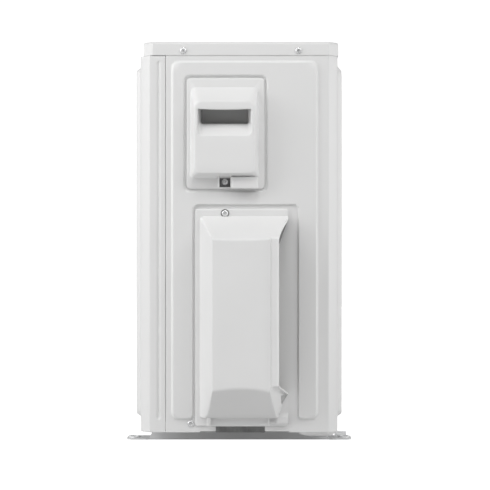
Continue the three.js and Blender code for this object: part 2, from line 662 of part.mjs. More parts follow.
// A tapered shell on a flange, with a finger grip, a pocket round its screw and a duct for the cable.
function terminalCover() {
  const { proud, wall, flange, rim, base, face, screwPocket, duct, ductDepth, tongue } = TERMINAL_COVER;
  const F = X + proud;
  const plate = prism("x", roundedRect(rim, 6), X + 0.4, X + flange);
  const body = join(plate, taperX(base, face, X + flange - 0.5, F));
  const hollow = taperX(widen(base, -wall), widen(face, -wall), X - 1, F - wall);
  // The grip: a ramp leads in and up to a pocket behind the upper lip. Points are [z, x].
  const { low, high, ramp, roof, lip, depth } = GRIP;
  const room = outline([
    [low - 2, F + 2],
    [ramp, F - lip + 2],
    [ramp + 1.4, F - depth],
    [roof, F - depth],
    [roof, F - lip],
    [high, F - 3],
    [high, F + 2],
  ]);
  const walls = outline([
    [low - 3.4, F - 1],
    [ramp - wall, F - lip + 1],
    [ramp - 1.3, F - depth - wall],
    [roof + wall, F - depth - wall],
    [roof + wall, F - lip + 1],
    [high + 3.4, F - 1],
  ]);
  const through = ([y0, y1, z0, z1], by, x0, x1) => block(x0, x1, y0 + by, y1 - by, z0, z1 - by);
  const pocketRoom = [screwPocket[0], screwPocket[1], rim[2] - 7, screwPocket[3]];
  const ductRoom = [duct[0], duct[1], rim[2] - 7, duct[3] + 11];
  const shell = cut(body, hollow);
  const whole = join(
    shell,
    prism("y", walls, GRIP.front - wall, GRIP.rear + wall),
    through(screwPocket, 0, X + 3, X + 20),
    through(duct, 0, X + 3, X + ductDepth),
    block(X - 7, X + 6, ...tongue),
  );
  return cut(
    whole,
    prism("y", room, GRIP.front, GRIP.rear),
    through(pocketRoom, 2.3, X + flange, X + 30),
    through(ductRoom, 2.2, X - 1, X + ductDepth - wall),
    screwHole(TERMINAL_SCREW),
  );
}

// A tapered shell on a flange, open towards +Y for the pipes, with two tongues that hook behind the panel.
function valveCover() {
  const { proud, wall, flange, ledge, rim, base, face, pipeExit, tongues } = VALVE_COVER;
  const plate = prism("x", roundedRect(rim, 5), X + 0.4, X + flange);
  const shape = (by) => {
    const low = prism("x", roundedRect(widen(base, -by), 3), X + (by ? -1 : 1), X + ledge + 0.01);
    return join(low, taperX(widen(base, -by), widen(face, -by), X + ledge, X + proud - by));
  };
  const opening = block(X - 1, X + proud - 8, ...pipeExit);
  const seat = rod(8, flange, 20, "x", [X, ...VALVE_SCREW], 14);
  const tongue = (z) => {
    const stem = block(X + 0.5, X + flange, -66, -58.5, z, z + 18);
    return join(stem, block(X - 7, X + flange, -60.5, -58.5, z, z + 18));
  };
  const shell = cut(join(plate, shape(0)), shape(wall), opening, seat);
  return cut(join(shell, ...tongues.map(tongue)), screwHole(VALVE_SCREW));
}

// ---- Refrigerant circuit --------------------------------------------------------------------------------

function valvePlate() {
  const { x, thick, y, low, high, foot } = VALVE_PLATE;
  const plate = block(x, x + thick, -y, y, low, high);
  const leg = (y0, y1) => {
    const post = block(x, x + thick, y0, y1, OVER_LEDGE, low + 1);
    return post.add(block(x - foot, x + thick, y0, y1, OVER_LEDGE, OVER_LEDGE + thick));
  };
  const hole = (v) => rod(v.r * 0.75, -9, 9, "x", [x, VALVE_Y, v.z], 14);
  const legs = [leg(-y, PAN_NOTCH[0] - 1), leg(PAN_NOTCH[1] + 1, y)];
  return cut(join(plate, ...legs), hole(GAS_VALVE), hole(LIQUID_VALVE));
}

// A service valve: its flange and body along +X, a threaded neck that the cap covers, and a flare port
// towards +Y.
function serviceValve({ z, r }) {
  const at = [0, VALVE_Y, z];
  const outlineOfFlange = roundRect(VALVE_Y - r - 9, VALVE_Y + r + 9, z - r, z + r, 3);
  const flange = prism("x", outlineOfFlange, VALVE_X, VALVE_X + 3.5);
  const body = rod(r, VALVE_X, VALVE_X + 29, "x", at, 14);
  const neck = rod(r * 0.66, VALVE_X + 28, VALVE_X + 40, "x", at, 12);
  const port = rod(r * 0.78, 0, r + 22, "y", [VALVE_X + 15, VALVE_Y, z], 12);
  const bore = rod(r * 0.4, VALVE_X + 22, VALVE_X + 50, "x", at, 10);
  return cut(join(flange, body, neck, port), bore);
}

function valveStem({ z, r }) {
  const at = [0, VALVE_Y, z];
  const socket = hexRod(r * 0.2, VALVE_X + 32, VALVE_X + 50, "x", at);
  return cut(rod(r * 0.36, VALVE_X + 22.5, VALVE_X + 38, "x", at, 10), socket);
}

function valveCap({ z, r }) {
  const at = [0, VALVE_Y, z];
  const [low, shoulder, top] = [VALVE_X + 29.4, VALVE_X + 43, VALVE_X + 46.5];
  const profile = [[0, low], [r * 0.98, low], [r * 0.98, shoulder], [r * 0.6, top], [0, top]];
  const bore = rod(r * 0.72, VALVE_X + 20, VALVE_X + 41, "x", at, 12);
  return cut(turned(profile, "x", at, 6), bore);
}

const flareCap = ({ z, r }) => hexRod(r, r + 22 + GAP, r + 38, "y", [VALVE_X + 15, VALVE_Y, z]);

const EAR_ANGLES = [0, 1, 2].map((k) => (2 * Math.PI * k) / 3);
const EARS = EAR_ANGLES.map((a) => [
  COMPRESSOR.x + COMPRESSOR.ears * Math.cos(a),
  COMPRESSOR.y + COMPRESSOR.ears * Math.sin(a),
]);

// The hermetic shell, on a three-eared foot plate.
function compressor() {
  const { x, y, r, low, high } = COMPRESSOR;
  const profile = [
    [0, low - 3],
    [r - 8, low - 3],
    [r, low + 8],
    [r, high - 26],
    [r - 9, high - 10],
    [r - 30, high],
    [0, high],
  ];
  const s = new THREE.Shape();
  EARS.forEach(([ex, ey], k) => {
    s.absarc(ex, ey, 15, EAR_ANGLES[k] - Math.PI / 3, EAR_ANGLES[k] + Math.PI / 3);
  });
  const plate = prism("z", s, low - 6, low - 2.9);
  const holes = EARS.map(([ex, ey]) => rod(5, 40, 60, "z", [ex, ey, 0], 10));
  return cut(join(turned(profile, "z", [x, y, 0], 24), plate), ...holes);
}

const grommet = ([x, y]) => tube(6, 13, 26, COMPRESSOR.low - 6 - GAP, "z", [x, y, 0], 14);

function compressorCap() {
  const { x, y, high } = COMPRESSOR;
  return block(x - 26, x - 2, y - 12, y + 12, high + GAP, high + 24);
}

function accumulator() {
  const { x, y, r, low, high } = ACCUMULATOR;
  const profile = [
    [0, low],
    [r - 10, low],
    [r, low + 10],
    [r, high - 12],
    [r - 10, high],
    [9, high + 3],
    [0, high + 3],
  ];
  return turned(profile, "z", [x, y, 0], 18);
}

function reversingValve() {
  const { x, y, z, r, half } = REVERSER;
  const profile = [[0, -half], [r - 3, -half], [r, 4 - half], [r, half - 4], [r - 3, half], [0, half]];
  const top = rod(6, 0, 24, "z", [x, y, z], 10);
  const ports = [-26, 0, 26].map((dy) => rod(8, -28, 0, "z", [x, y + dy, z], 10));
  return join(turned(profile, "y", [x, y, z], 14), top, ...ports);
}

function reversingCoil() {
  const { x, y, z, r } = REVERSER;
  return block(x + r + 2, x + r + 28, y - 16, y + 16, z - 14, z + 14);
}

function expansionValve() {
  const { x, y, low, r } = EXPANDER;
  return join(rod(r, low, low + 40, "z", [x, y, 0], 12), rod(5, -22, 0, "y", [x, y, low + 14], 10));
}

const expansionCoil = () =>
  rod(17, EXPANDER.low + 40 + GAP, EXPANDER.low + 70, "z", [EXPANDER.x, EXPANDER.y, 0], 16);

function dischargePipe() {
  const { x, y, z } = REVERSER;
  const [cx, cy, top] = [COMPRESSOR.x + 10, COMPRESSOR.y, COMPRESSOR.high];
  const route = [
    [cx, cy, top + 0.6],
    [cx, cy, top + 130],
    [cx + 6, cy + 28, top + 160],
    [x, y, z + 46],
    [x, y, z + 24.5],
  ];
  return pipe(route, 5, 26);
}

function suctionPipe() {
  const { x, y, z } = REVERSER;
  const a = ACCUMULATOR;
  const route = [
    [x, y, z - 28.5],
    [x, y, z - 40],
    [x + 4, y, z - 60],
    [288, -30, 345],
    [a.x, a.y, 318],
    [a.x, a.y, a.high + 3.5],
  ];
  return pipe(route, 7, 24);
}

function coilPipe() {
  const { x, y, z } = REVERSER;
  const route = [
    [x, y + 26, z - 28.5],
    [x, y + 28, z - 60],
    [205, 108, 352],
    [150, 142, 350],
    [COIL.end + COIL.plate + 2 * GAP, 142, 350],
  ];
  return pipe(route, 6, 24);
}

function gasPipe() {
  const { x, y, z } = REVERSER;
  const route = [
    [x, y - 26, z - 28.5],
    [x, y - 26, z - 38],
    [x + 6, y - 27, z - 54],
    [310, -2, 374],
    [337, 0, 330],
    [340, -4, 196],
    [356, VALVE_Y, GAS_VALVE.z],
    [VALVE_X - GAP, VALVE_Y, GAS_VALVE.z],
  ];
  return pipe(route, 8, 30);
}

function liquidPipe() {
  const { x, y } = EXPANDER;
  const route = [
    [VALVE_X - GAP, VALVE_Y, LIQUID_VALVE.z],
    [364, VALVE_Y, LIQUID_VALVE.z],
    [357, 22, 300],
    [326, 50, 314],
    [x, y - 40, 314],
    [x, y - 22.5, 314],
  ];
  return pipe(route, 4, 26);
}

// ---- The object -----------------------------------------------------------------------------------------

add("base_pan", basePan(), PAINT);
add("foot_left", foot(FEET_X[0]), GALVANISED);
add("foot_right", foot(FEET_X[1]), GALVANISED);
add("front_panel", frontPanel(), PAINT);
add("side_panel", sidePanel(), PAINT);
add("top_cover", topCover(), PAINT);
add("corner_post", cornerPost(), PAINT);
add("left_guard", leftGuard(), GRILLE_PLASTIC);
add("rear_guard", rearGuard(), GRILLE_PLASTIC);
LID_SCREWS.forEach((at, i) => {
  add("lid_screw_" + ["front", "rear"][i], screw(X + 1.5 + GAP, at), STEEL);
});
add("base_screw", screw(X + GAP, BASE_SCREW), STEEL);

add("fan_shroud", fanShroud(), GRILLE_PLASTIC);
add("fan_grille", fanGrille(), GRILLE_PLASTIC);
add("fan_blades", fanBlades(), FAN_PLASTIC);
add("fan_nut", fanNut(), BLACK_PLASTIC);
add("motor_shaft", motorShaft(), STEEL);
add("fan_motor", fanMotor(), GALVANISED);
add("motor_bracket", motorBracket(), GALVANISED);
add("coil", coil(), ALUMINIUM);
add("coil_plate_left", coilPlateLeft(), GALVANISED);
add("coil_plate_right", coilPlateRight(), GALVANISED);
add("partition", partition(), GALVANISED);

add("control_box", controlBox(), GALVANISED);
add("control_board", controlBoard(), BOARD_GREEN);
add("reactor", reactor(), STEEL);
add("heat_sink", heatSink(), ALUMINIUM);
add("terminal_plate", terminalPlate(), GALVANISED);
add("terminal_block", terminalBlock(), BLACK_PLASTIC);
add("cable_clamp", cableClamp(), BLACK_PLASTIC);

add("terminal_cover", terminalCover(), COVER_PLASTIC);
add("terminal_cover_screw", screw(X + TERMINAL_COVER.flange + GAP, TERMINAL_SCREW), STEEL);
add("valve_cover", valveCover(), COVER_PLASTIC);
add("valve_cover_screw", screw(X + VALVE_COVER.flange + GAP, VALVE_SCREW), STEEL);

add("valve_plate", valvePlate(), GALVANISED);
for (const [name, v] of [["gas", GAS_VALVE], ["liquid", LIQUID_VALVE]]) {
  add(name + "_valve", serviceValve(v), BRASS);
  add(name + "_stem", valveStem(v), STEEL);
  add(name + "_cap", valveCap(v), BRASS);
  add(name + "_flare_cap", flareCap(v), BRASS);
}
add("compressor", compressor(), BLACK_PAINT);
add("compressor_cap", compressorCap(), BLACK_PLASTIC);
EARS.forEach((at, i) => add("grommet_" + (i + 1), grommet(at), RUBBER));
add("accumulator", accumulator(), BLACK_PAINT);
add("reversing_valve", reversingValve(), BRASS);
add("reversing_coil", reversingCoil(), BLACK_PLASTIC);
add("expansion_valve", expansionValve(), BRASS);
add("expansion_coil", expansionCoil(), BLACK_PLASTIC);
add("discharge_pipe", dischargePipe(), COPPER);
add("suction_pipe", suctionPipe(), COPPER);
add("coil_pipe", coilPipe(), COPPER);
add("gas_pipe", gasPipe(), COPPER);
add("liquid_pipe", liquidPipe(), COPPER);

export default root;
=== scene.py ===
"""Looks of the outdoor unit of a split heat pump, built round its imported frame.

Helpers work in millimetres in the frame's own axes: +Z up, -Y the fan's side, +X the service side. Blender
objects are in metres. Every place comes from the frame's node boxes or from the dimensions named beside
each piece.
"""
import math
import random

import bmesh
import bpy
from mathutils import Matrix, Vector


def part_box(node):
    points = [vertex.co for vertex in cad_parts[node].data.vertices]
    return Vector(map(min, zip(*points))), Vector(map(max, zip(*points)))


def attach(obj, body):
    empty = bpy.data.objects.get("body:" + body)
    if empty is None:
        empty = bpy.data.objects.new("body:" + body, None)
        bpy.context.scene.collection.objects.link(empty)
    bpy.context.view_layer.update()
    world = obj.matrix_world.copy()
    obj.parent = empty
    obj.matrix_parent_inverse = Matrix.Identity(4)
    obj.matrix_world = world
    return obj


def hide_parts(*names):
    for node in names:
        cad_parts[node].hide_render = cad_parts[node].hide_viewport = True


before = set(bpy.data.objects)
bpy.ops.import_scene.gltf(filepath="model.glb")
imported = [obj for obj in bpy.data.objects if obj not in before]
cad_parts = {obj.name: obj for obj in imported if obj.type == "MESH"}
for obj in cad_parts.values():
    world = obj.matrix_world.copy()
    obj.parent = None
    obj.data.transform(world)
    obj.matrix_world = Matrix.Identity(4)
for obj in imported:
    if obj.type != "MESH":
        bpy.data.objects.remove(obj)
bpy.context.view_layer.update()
MM = 0.001
random.seed(7)


def node_box(node):
    """A CAD node's lowest and highest corners, in millimetres."""
    low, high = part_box(node)
    return [c / MM for c in low], [c / MM for c in high]


PANEL_X = node_box("front_panel")[1][0]  # the service side's flat plane
LEFT_X = node_box("front_panel")[0][0]
FRONT_Y = node_box("top_cover")[0][1] - 5  # the front panel's flat plane, 5 in front of the lid
REAR_Y = node_box("corner_post")[1][1]
PANEL_LOW = node_box("front_panel")[0][2]
SKIRT = node_box("top_cover")[0][2]
LID_TOP = node_box("top_cover")[1][2]
CHAMFER = 16  # the cut across the cabinet's upright corners
SHEET = 1.2  # the cabinet's sheet metal

# ---- Shapes ------------------------------------------------------------------------------------------


def node_middle(node):
    """The middle of a node's box across the service side, as (0, y, z) in millimetres."""
    low, high = node_box(node)
    return (0, (low[1] + high[1]) / 2, (low[2] + high[2]) / 2)


def smooth(t):
    """0 below 0, 1 above 1, and an S curve between."""
    t = min(max(t, 0.0), 1.0)
    return t * t * (3 - 2 * t)


def mix(a, b, t):
    return a + (b - a) * t


def spread(*stops):
    """Values from the first stop to the last. Each later stop is (value, number of steps to it)."""
    values = [stops[0]]
    for to, steps in stops[1:]:
        start = values[-1]
        values += [mix(start, to, (i + 1) / steps) for i in range(steps)]
    return values


def around(count):
    """Angles of equal steps round a full turn."""
    return [2 * math.pi * k / count for k in range(count)]


def quarter(steps):
    """Angles from 0 to a right angle."""
    return spread(0.0, (math.pi / 2, steps))


def hexagon(a):
    """How far out a hexagon's edge lies at an angle, with its corners at 1."""
    return math.cos(math.pi / 6) / math.cos((a + math.pi / 6) % (math.pi / 3) - math.pi / 6)


def rise(base, *pairs):
    """A profile of (radius, height) pairs, with its heights counted from `base`."""
    return [(r, base + h, *six) for r, h, *six in pairs]


def threaded(x0, x1, r, pitch=1.5, depth=0.75):
    """A profile of thread crests and roots from x0 to x1."""
    out, x = [], x0
    while x < x1 - pitch:
        out += [(r - depth, x), (r, x + pitch * 0.5)]
        x += pitch
    return out + [(r - depth, x), (r - depth, x1)]


def inset_rect(rect, by):
    return (rect[0] + by, rect[1] - by, rect[2] + by, rect[3] - by)


def blend_rect(a, b, t):
    return tuple(mix(p, q, t) for p, q in zip(a, b))


def lines(low, high, edges, fine=1.0, reach=8.0, coarse=14.0):
    """Grid lines from low to high: one on each edge, fine ones within reach of it, coarse ones
    elsewhere."""
    fixed = sorted({low, high, *[e for e in edges if low < e < high]})
    near = {e + i * fine for e in edges for i in range(-int(reach / fine), int(reach / fine) + 1)}
    stops = list(fixed)
    for value in sorted(near):
        if low < value < high and all(abs(value - s) > fine * 0.6 for s in stops):
            stops.append(value)
    stops.sort()
    out = [stops[0]]
    for value in stops[1:]:
        start, steps = out[-1], max(1, math.ceil((value - out[-1]) / coarse))
        out += [mix(start, value, (i + 1) / steps) for i in range(steps)]
    return out


def inside(u, v, rect, radius):
    """How far (u, v) lies inside a rectangle (u0, u1, v0, v1) with round corners, negative outside."""
    u0, u1, v0, v1 = rect
    du = abs(u - (u0 + u1) / 2) - (u1 - u0) / 2 + radius
    dv = abs(v - (v0 + v1) / 2) - (v1 - v0) / 2 + radius
    outside = math.hypot(max(du, 0), max(dv, 0))
    return radius - outside - min(max(du, dv), 0)


def round_outline(rect, radius, side=18, corner=6, sag=0.0):
    """A rectangle (u0, u1, v0, v1) with round corners, always with the same number of points. radius may be
    a pair for the lower and upper corners, and the upper edge sags by `sag`."""
    u0, u1, v0, v1 = rect
    low_r, high_r = radius if isinstance(radius, tuple) else (radius, radius)
    quarters = [(u1 - low_r, v0 + low_r, low_r, -90), (u1 - high_r, v1 - high_r, high_r, 0),
                (u0 + high_r, v1 - high_r, high_r, 90), (u0 + low_r, v0 + low_r, low_r, 180)]
    arcs = []
    for cu, cv, r, start in quarters:
        turn = [math.radians(start + 90 * k / corner) for k in range(corner + 1)]
        arcs.append([(cu + r * math.cos(a), cv + r * math.sin(a)) for a in turn])
    ring = []
    for i, arc in enumerate(arcs):
        ring += arc
        (ua, va), (ub, vb) = arc[-1], arcs[(i + 1) % 4][0]
        for k in range(1, side):
            t = k / side
            drop = sag * math.sin(math.pi * t) if i == 1 else 0
            ring.append((mix(ua, ub, t), mix(va, vb, t) - drop))
    return ring


class Shape:
    """Points in millimetres and faces, gathered before they become one mesh."""

    def __init__(self):
        self.points = []
        self.faces = []

    def add(self, points, faces):
        base = len(self.points)
        self.points += [Vector(p) for p in points]
        self.faces += [[base + i for i in f] for f in faces]
        return self

    def join(self, other):
        return self.add(other.points, other.faces)

    def grid(self, rows, close=False, cap_start=False, cap_end=False, keep=None):
        """Rows of points, all of one length, joined by quads. close joins each row's ends, and keep tells
        from a quad's middle whether it stays."""
        n = len(rows[0])
        faces = []
        for i in range(len(rows) - 1):
            for j in range(n if close else n - 1):
                k = (j + 1) % n
                middle = (Vector(rows[i][j]) + Vector(rows[i + 1][k])) / 2
                if keep is None or keep(middle):
                    faces.append([i * n + j, i * n + k, (i + 1) * n + k, (i + 1) * n + j])
        if cap_start:
            faces.append(list(range(n))[::-1])
        if cap_end:
            faces.append([(len(rows) - 1) * n + j for j in range(n)])
        return self.add([p for row in rows for p in row], faces)

    def loft(self, rows):
        """Closed rings joined into a solid, with a cap at each end."""
        return self.grid(rows, close=True, cap_start=True, cap_end=True)

    def box(self, x0, x1, y0, y1, z0, z1):
        return self.loft([[(x, y0, z0), (x, y1, z0), (x, y1, z1), (x, y0, z1)] for x in (x0, x1)])

    def turned(self, profile, axis, at=(0, 0, 0), segments=32, caps=True):
        """A profile of (radius, height) pairs turned about an axis through the point `at`. A pair with a
        third value that is true makes a hexagon, with the radius at its corners."""
        rows = []
        for r, h, *six in profile:
            row = []
            for a in around(segments):
                size = r * hexagon(a) if any(six) else r
                u, v = size * math.cos(a), size * math.sin(a)
                p = {"x": (h, u, v), "y": (v, h, u), "z": (u, v, h)}[axis]
                row.append(Vector(p) + Vector(at))
            rows.append(row)
        ends = [caps and p[0] > 0 for p in (profile[0], profile[-1])]
        return self.grid(rows, close=True, cap_start=ends[0], cap_end=ends[1])

    def ring(self, profile, axis, at, segments=48):
        """A closed profile turned about an axis, such as a washer or a tyre."""
        return self.turned(profile + profile[:1], axis, at, segments, caps=False)

    def hoop(self, centre, radius, wire, sides=8, segments=96):
        """A round wire bent into a circle that faces the front."""
        x, y, z = centre
        path = [(x + radius * math.cos(a), y, z + radius * math.sin(a)) for a in around(segments)]
        return self.tube(path, wire, sides, closed=True)

    def rounded_box(self, low, high, axis, r=2.0, edge=0.6):
        """A box between two corners with round corners about one axis and softened edges at its two
        ends."""
        u, v, w = {"x": (1, 2, 0), "y": (2, 0, 1), "z": (0, 1, 2)}[axis]
        rings = []
        for by, at in ((edge, low[w]), (0, low[w] + edge), (0, high[w] - edge), (edge, high[w])):
            rect = (low[u] + by, high[u] - by, low[v] + by, high[v] - by)
            ring = []
            for a, b in round_outline(rect, max(r - by, 0.1), side=2, corner=4):
                point = [0, 0, 0]
                point[u], point[v], point[w] = a, b, at
                ring.append(point)
            rings.append(ring)
        return self.loft(rings)

    def tube(self, path, radius, sides=12, closed=False, caps=True):
        """A round tube along a list of points."""
        points = [Vector(p) for p in path]
        n = len(points)
        rows, up = [], None
        for i, p in enumerate(points):
            ahead = points[(i + 1) % n] if closed or i < n - 1 else p
            behind = points[i - 1] if closed or i > 0 else p
            along = (ahead - behind).normalized()
            if up is None:
                up = along.orthogonal().normalized()
            up = (up - along * up.dot(along)).normalized()
            across = along.cross(up)
            rows.append([p + (up * math.cos(a) + across * math.sin(a)) * radius for a in around(sides)])
        if closed:
            rows.append(rows[0])
        ends = caps and not closed
        return self.grid(rows, close=True, cap_start=ends, cap_end=ends)


def to_mesh(name, shape, weld=0.01, front=None):
    """A Blender mesh in metres, its shared points merged and its faces turned to face out. For an open
    sheet, the face furthest along `front` faces that way."""
    mesh = bpy.data.meshes.new(name)
    bm = bmesh.new()
    verts = [bm.verts.new(p * MM) for p in shape.points]
    for f in shape.faces:
        if len(set(f)) > 2:
            bm.faces.new([verts[i] for i in f])
    bmesh.ops.remove_doubles(bm, verts=bm.verts, dist=weld * MM)
    bmesh.ops.dissolve_degenerate(bm, dist=weld * MM / 10, edges=bm.edges)
    bmesh.ops.recalc_face_normals(bm, faces=bm.faces)
    if front:
        front = Vector(front)
        furthest = max(bm.faces, key=lambda f: f.calc_center_median().dot(front))
        if furthest.normal.dot(front) < 0:
            bmesh.ops.reverse_faces(bm, faces=bm.faces)
    bm.to_mesh(mesh)
    bm.free()
    return mesh


def bake(obj):
    """Applies an object's modifiers to its mesh."""
    bpy.context.view_layer.update()
    graph = bpy.context.evaluated_depsgraph_get()
    mesh = bpy.data.meshes.new_from_object(obj.evaluated_get(graph))
    obj.modifiers.clear()
    obj.data = mesh


def carve(obj, *cutters):
    """Cuts closed shapes out of an object's mesh."""
    for shape in cutters:
        tool = bpy.data.objects.new("cutter", to_mesh("cutter", shape))
        bpy.context.scene.collection.objects.link(tool)
        modifier = obj.modifiers.new("cut", "BOOLEAN")
        modifier.operation = "DIFFERENCE"
        modifier.solver = "EXACT"
        modifier.object = tool
        bake(obj)
        bpy.data.objects.remove(tool)


def soften(obj, width):
    """Rounds an object's sharp edges with a modifier."""
    rounding = obj.modifiers.new("edges", "BEVEL")
    rounding.width = width * MM
    rounding.segments = 2
    rounding.limit_method = "ANGLE"
    rounding.angle_limit = math.radians(40)


def coat(obj, material):
    """Gives an object its one material."""
    obj.data.materials.clear()
    obj.data.materials.append(material)


def piece(name, shape, material, slot, body="root", nodes=(), wall=0, front=(1, 0, 0), bevel=0, cuts=(),
          crease=32):
    """Makes one visible piece. wall thickens an open sheet away from `front`, and bevel rounds sharp
    edges."""
    obj = bpy.data.objects.new(name, to_mesh(name, shape, front=wall and front))
    bpy.context.scene.collection.objects.link(obj)
    if wall:
        solidify = obj.modifiers.new("wall", "SOLIDIFY")
        solidify.thickness = wall * MM
        solidify.offset = -1
        bake(obj)
    carve(obj, *cuts)
    if bevel:
        soften(obj, bevel)
        bake(obj)
    obj.data.shade_smooth()
    obj.data.set_sharp_from_angle(angle=math.radians(crease))
    coat(obj, material)
    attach(obj, body)
    if nodes:
        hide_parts(*nodes)


# ---- Materials ---------------------------------------------------------------------------------------


def shader(name, color, roughness, metallic=0.0, **sockets):
    """A new material, its node tree and its Principled shader, with plain values on the shader's own
    sockets."""
    material = bpy.data.materials.new(name)
    material.use_nodes = True
    tree = material.node_tree
    principled = tree.nodes["Principled BSDF"]
    principled.inputs["Base Color"].default_value = (*color, 1)
    principled.inputs["Roughness"].default_value = roughness
    principled.inputs["Metallic"].default_value = metallic
    for socket, value in sockets.items():
        principled.inputs[socket.replace("_", " ")].default_value = value
    return material, tree, principled


def texture(tree, kind, scale, detail=2.0, stretch=(1, 1, 1), **values):
    """A procedural texture on the object's own coordinates, in metres."""
    where = tree.nodes.new("ShaderNodeTexCoord")
    mapping = tree.nodes.new("ShaderNodeMapping")
    mapping.inputs["Scale"].default_value = stretch
    tree.links.new(where.outputs["Object"], mapping.inputs["Vector"])
    node = tree.nodes.new({"noise": "ShaderNodeTexNoise", "cells": "ShaderNodeTexVoronoi"}[kind])
    node.inputs["Scale"].default_value = scale
    if "Detail" in node.inputs:
        node.inputs["Detail"].default_value = detail
    for key, value in values.items():
        setattr(node, key, value)
    tree.links.new(mapping.outputs["Vector"], node.inputs["Vector"])
    return node


def ramp(tree, source, stops):
    """A colour ramp over a texture's output. Stops are (position, (r, g, b))."""
    node = tree.nodes.new("ShaderNodeValToRGB")
    elements = node.color_ramp.elements
    for i, (position, color) in enumerate(stops):
        element = elements[i] if i < 2 else elements.new(position)
        element.position = position
        element.color = (*color, 1)
    tree.links.new(source, node.inputs["Fac"])
    return node


def bumps(tree, principled, *layers):
    """Stacks bump layers of (texture output, height in millimetres) on the shader's normal."""
    previous = None
    for source, height in layers:
        bump = tree.nodes.new("ShaderNodeBump")
        bump.inputs["Strength"].default_value = 1.0
        bump.inputs["Distance"].default_value = height * MM
        tree.links.new(source, bump.inputs["Height"])
        if previous:
            tree.links.new(previous.outputs["Normal"], bump.inputs["Normal"])
        previous = bump
    tree.links.new(previous.outputs["Normal"], principled.inputs["Normal"])


def vary(tree, principled, socket, source, stops):
    """Drives a colour or roughness socket from a texture through a ramp."""
    node = ramp(tree, source, stops)
    tree.links.new(node.outputs["Color"], principled.inputs[socket])


def grey(v):
    return (v, v, v)


def tint(color, by):
    return tuple(c * by for c in color)


def painted(name, color, roughness=0.42):
    """Satin powder coat: a fine orange peel, and a faint unevenness in gloss and tone."""
    material, tree, principled = shader(name, color, roughness, Coat_Weight=0.12, Coat_Roughness=0.3)
    peel = texture(tree, "noise", 900, 2)
    cloud = texture(tree, "noise", 7, 3)
    vary(tree, principled, "Base Color", cloud.outputs["Fac"], [(0.3, tint(color, 0.985)), (0.7, color)])
    gloss = [(0.3, grey(roughness - 0.04)), (0.7, grey(roughness + 0.05))]
    vary(tree, principled, "Roughness", peel.outputs["Fac"], gloss)
    bumps(tree, principled, (peel.outputs["Fac"], 0.03))
    return material


def moulded(name, color, roughness=0.48, grain=0.025):
    """Moulded plastic with a fine spark-eroded grain and slow waves of gloss."""
    material, tree, principled = shader(name, color, roughness)
    fine = texture(tree, "noise", 1600, 1)
    cloud = texture(tree, "noise", 12, 2)
    vary(tree, principled, "Base Color", cloud.outputs["Fac"], [(0.3, tint(color, 0.98)), (0.7, color)])
    gloss = [(0.3, grey(roughness - 0.05)), (0.7, grey(roughness + 0.05))]
    vary(tree, principled, "Roughness", cloud.outputs["Fac"], gloss)
    bumps(tree, principled, (fine.outputs["Fac"], grain))
    return material


def galvanised(name):
    """Zinc-coated sheet with a soft spangle."""
    base = (0.62, 0.635, 0.65)
    material, tree, principled = shader(name, base, 0.4, 0.9)
    spangle = texture(tree, "cells", 130)
    haze = texture(tree, "noise", 40, 4)
    tones = [(0.2, tint(base, 0.86)), (0.8, tint(base, 1.08))]
    vary(tree, principled, "Base Color", spangle.outputs["Color"], tones)
    vary(tree, principled, "Roughness", haze.outputs["Fac"], [(0.3, grey(0.33)), (0.7, grey(0.5))])
    bumps(tree, principled, (haze.outputs["Fac"], 0.04))
    return material


def metal(name, color, roughness, streak=(1, 1, 1), dull=0.8, metallic=1.0):
    """Bare metal: fine drawing lines along one axis, and patches where it has dulled. A passivated coating
    takes part of its mirror away."""
    material, tree, principled = shader(name, color, roughness, metallic)
    drawn = texture(tree, "noise", 500, 2, streak)
    patch = texture(tree, "noise", 25, 4)
    vary(tree, principled, "Base Color", patch.outputs["Fac"], [(0.35, tint(color, dull)), (0.65, color)])
    gloss = [(0.3, grey(roughness - 0.07)), (0.7, grey(roughness + 0.1))]
    vary(tree, principled, "Roughness", drawn.outputs["Fac"], gloss)
    bumps(tree, principled, (drawn.outputs["Fac"], 0.01))
    return material


def rubbery(name, level):
    """Rubber or foam of one grey level, with dust on it."""
    material, tree, principled = shader(name, grey(level), 0.8)
    dust = texture(tree, "noise", 60, 4)
    tones = [(0.4, grey(level)), (0.8, grey(level * 1.4 + 0.02))]
    vary(tree, principled, "Base Color", dust.outputs["Fac"], tones)
    bumps(tree, principled, (dust.outputs["Fac"], 0.08))
    return material


def circuit(name):
    """A board's solder mask, with paler tracks."""
    color = (0.03, 0.16, 0.07)
    material, tree, principled = shader(name, color, 0.35)
    tracks = texture(tree, "cells", 220, distance="CHEBYCHEV", feature="F1")
    tones = [(0.45, color), (0.5, (0.06, 0.26, 0.12))]
    vary(tree, principled, "Base Color", tracks.outputs["Distance"], tones)
    bumps(tree, principled, (tracks.outputs["Distance"], 0.03))
    return material


WHITE = (0.76, 0.76, 0.757)
PAINT = painted("paint", WHITE)
PLASTIC = moulded("cover_plastic", (0.775, 0.775, 0.772))
WIRE = painted("grille_coat", (0.74, 0.74, 0.737), 0.38)
SHROUD = moulded("shroud_plastic", (0.60, 0.60, 0.598), 0.5)
FAN_PLASTIC = moulded("fan_plastic", (0.055, 0.058, 0.062), 0.5, 0.04)
BLACK = moulded("black_plastic", (0.022, 0.022, 0.024), 0.45)
BLACK_PAINT = painted("black_paint", (0.012, 0.012, 0.013), 0.4)
ZINC = metal("screw_zinc", (0.88, 0.885, 0.89), 0.22, metallic=0.55)
GALVANISED = galvanised("galvanised")
FOOT_PAINT = metal("foot_zinc", (0.86, 0.865, 0.87), 0.5, dull=0.95, metallic=0.05)
IRON = metal("core_iron", (0.30, 0.29, 0.28), 0.5, dull=0.7)
ENAMEL = metal("winding_enamel", (0.55, 0.24, 0.10), 0.35, dull=0.7)
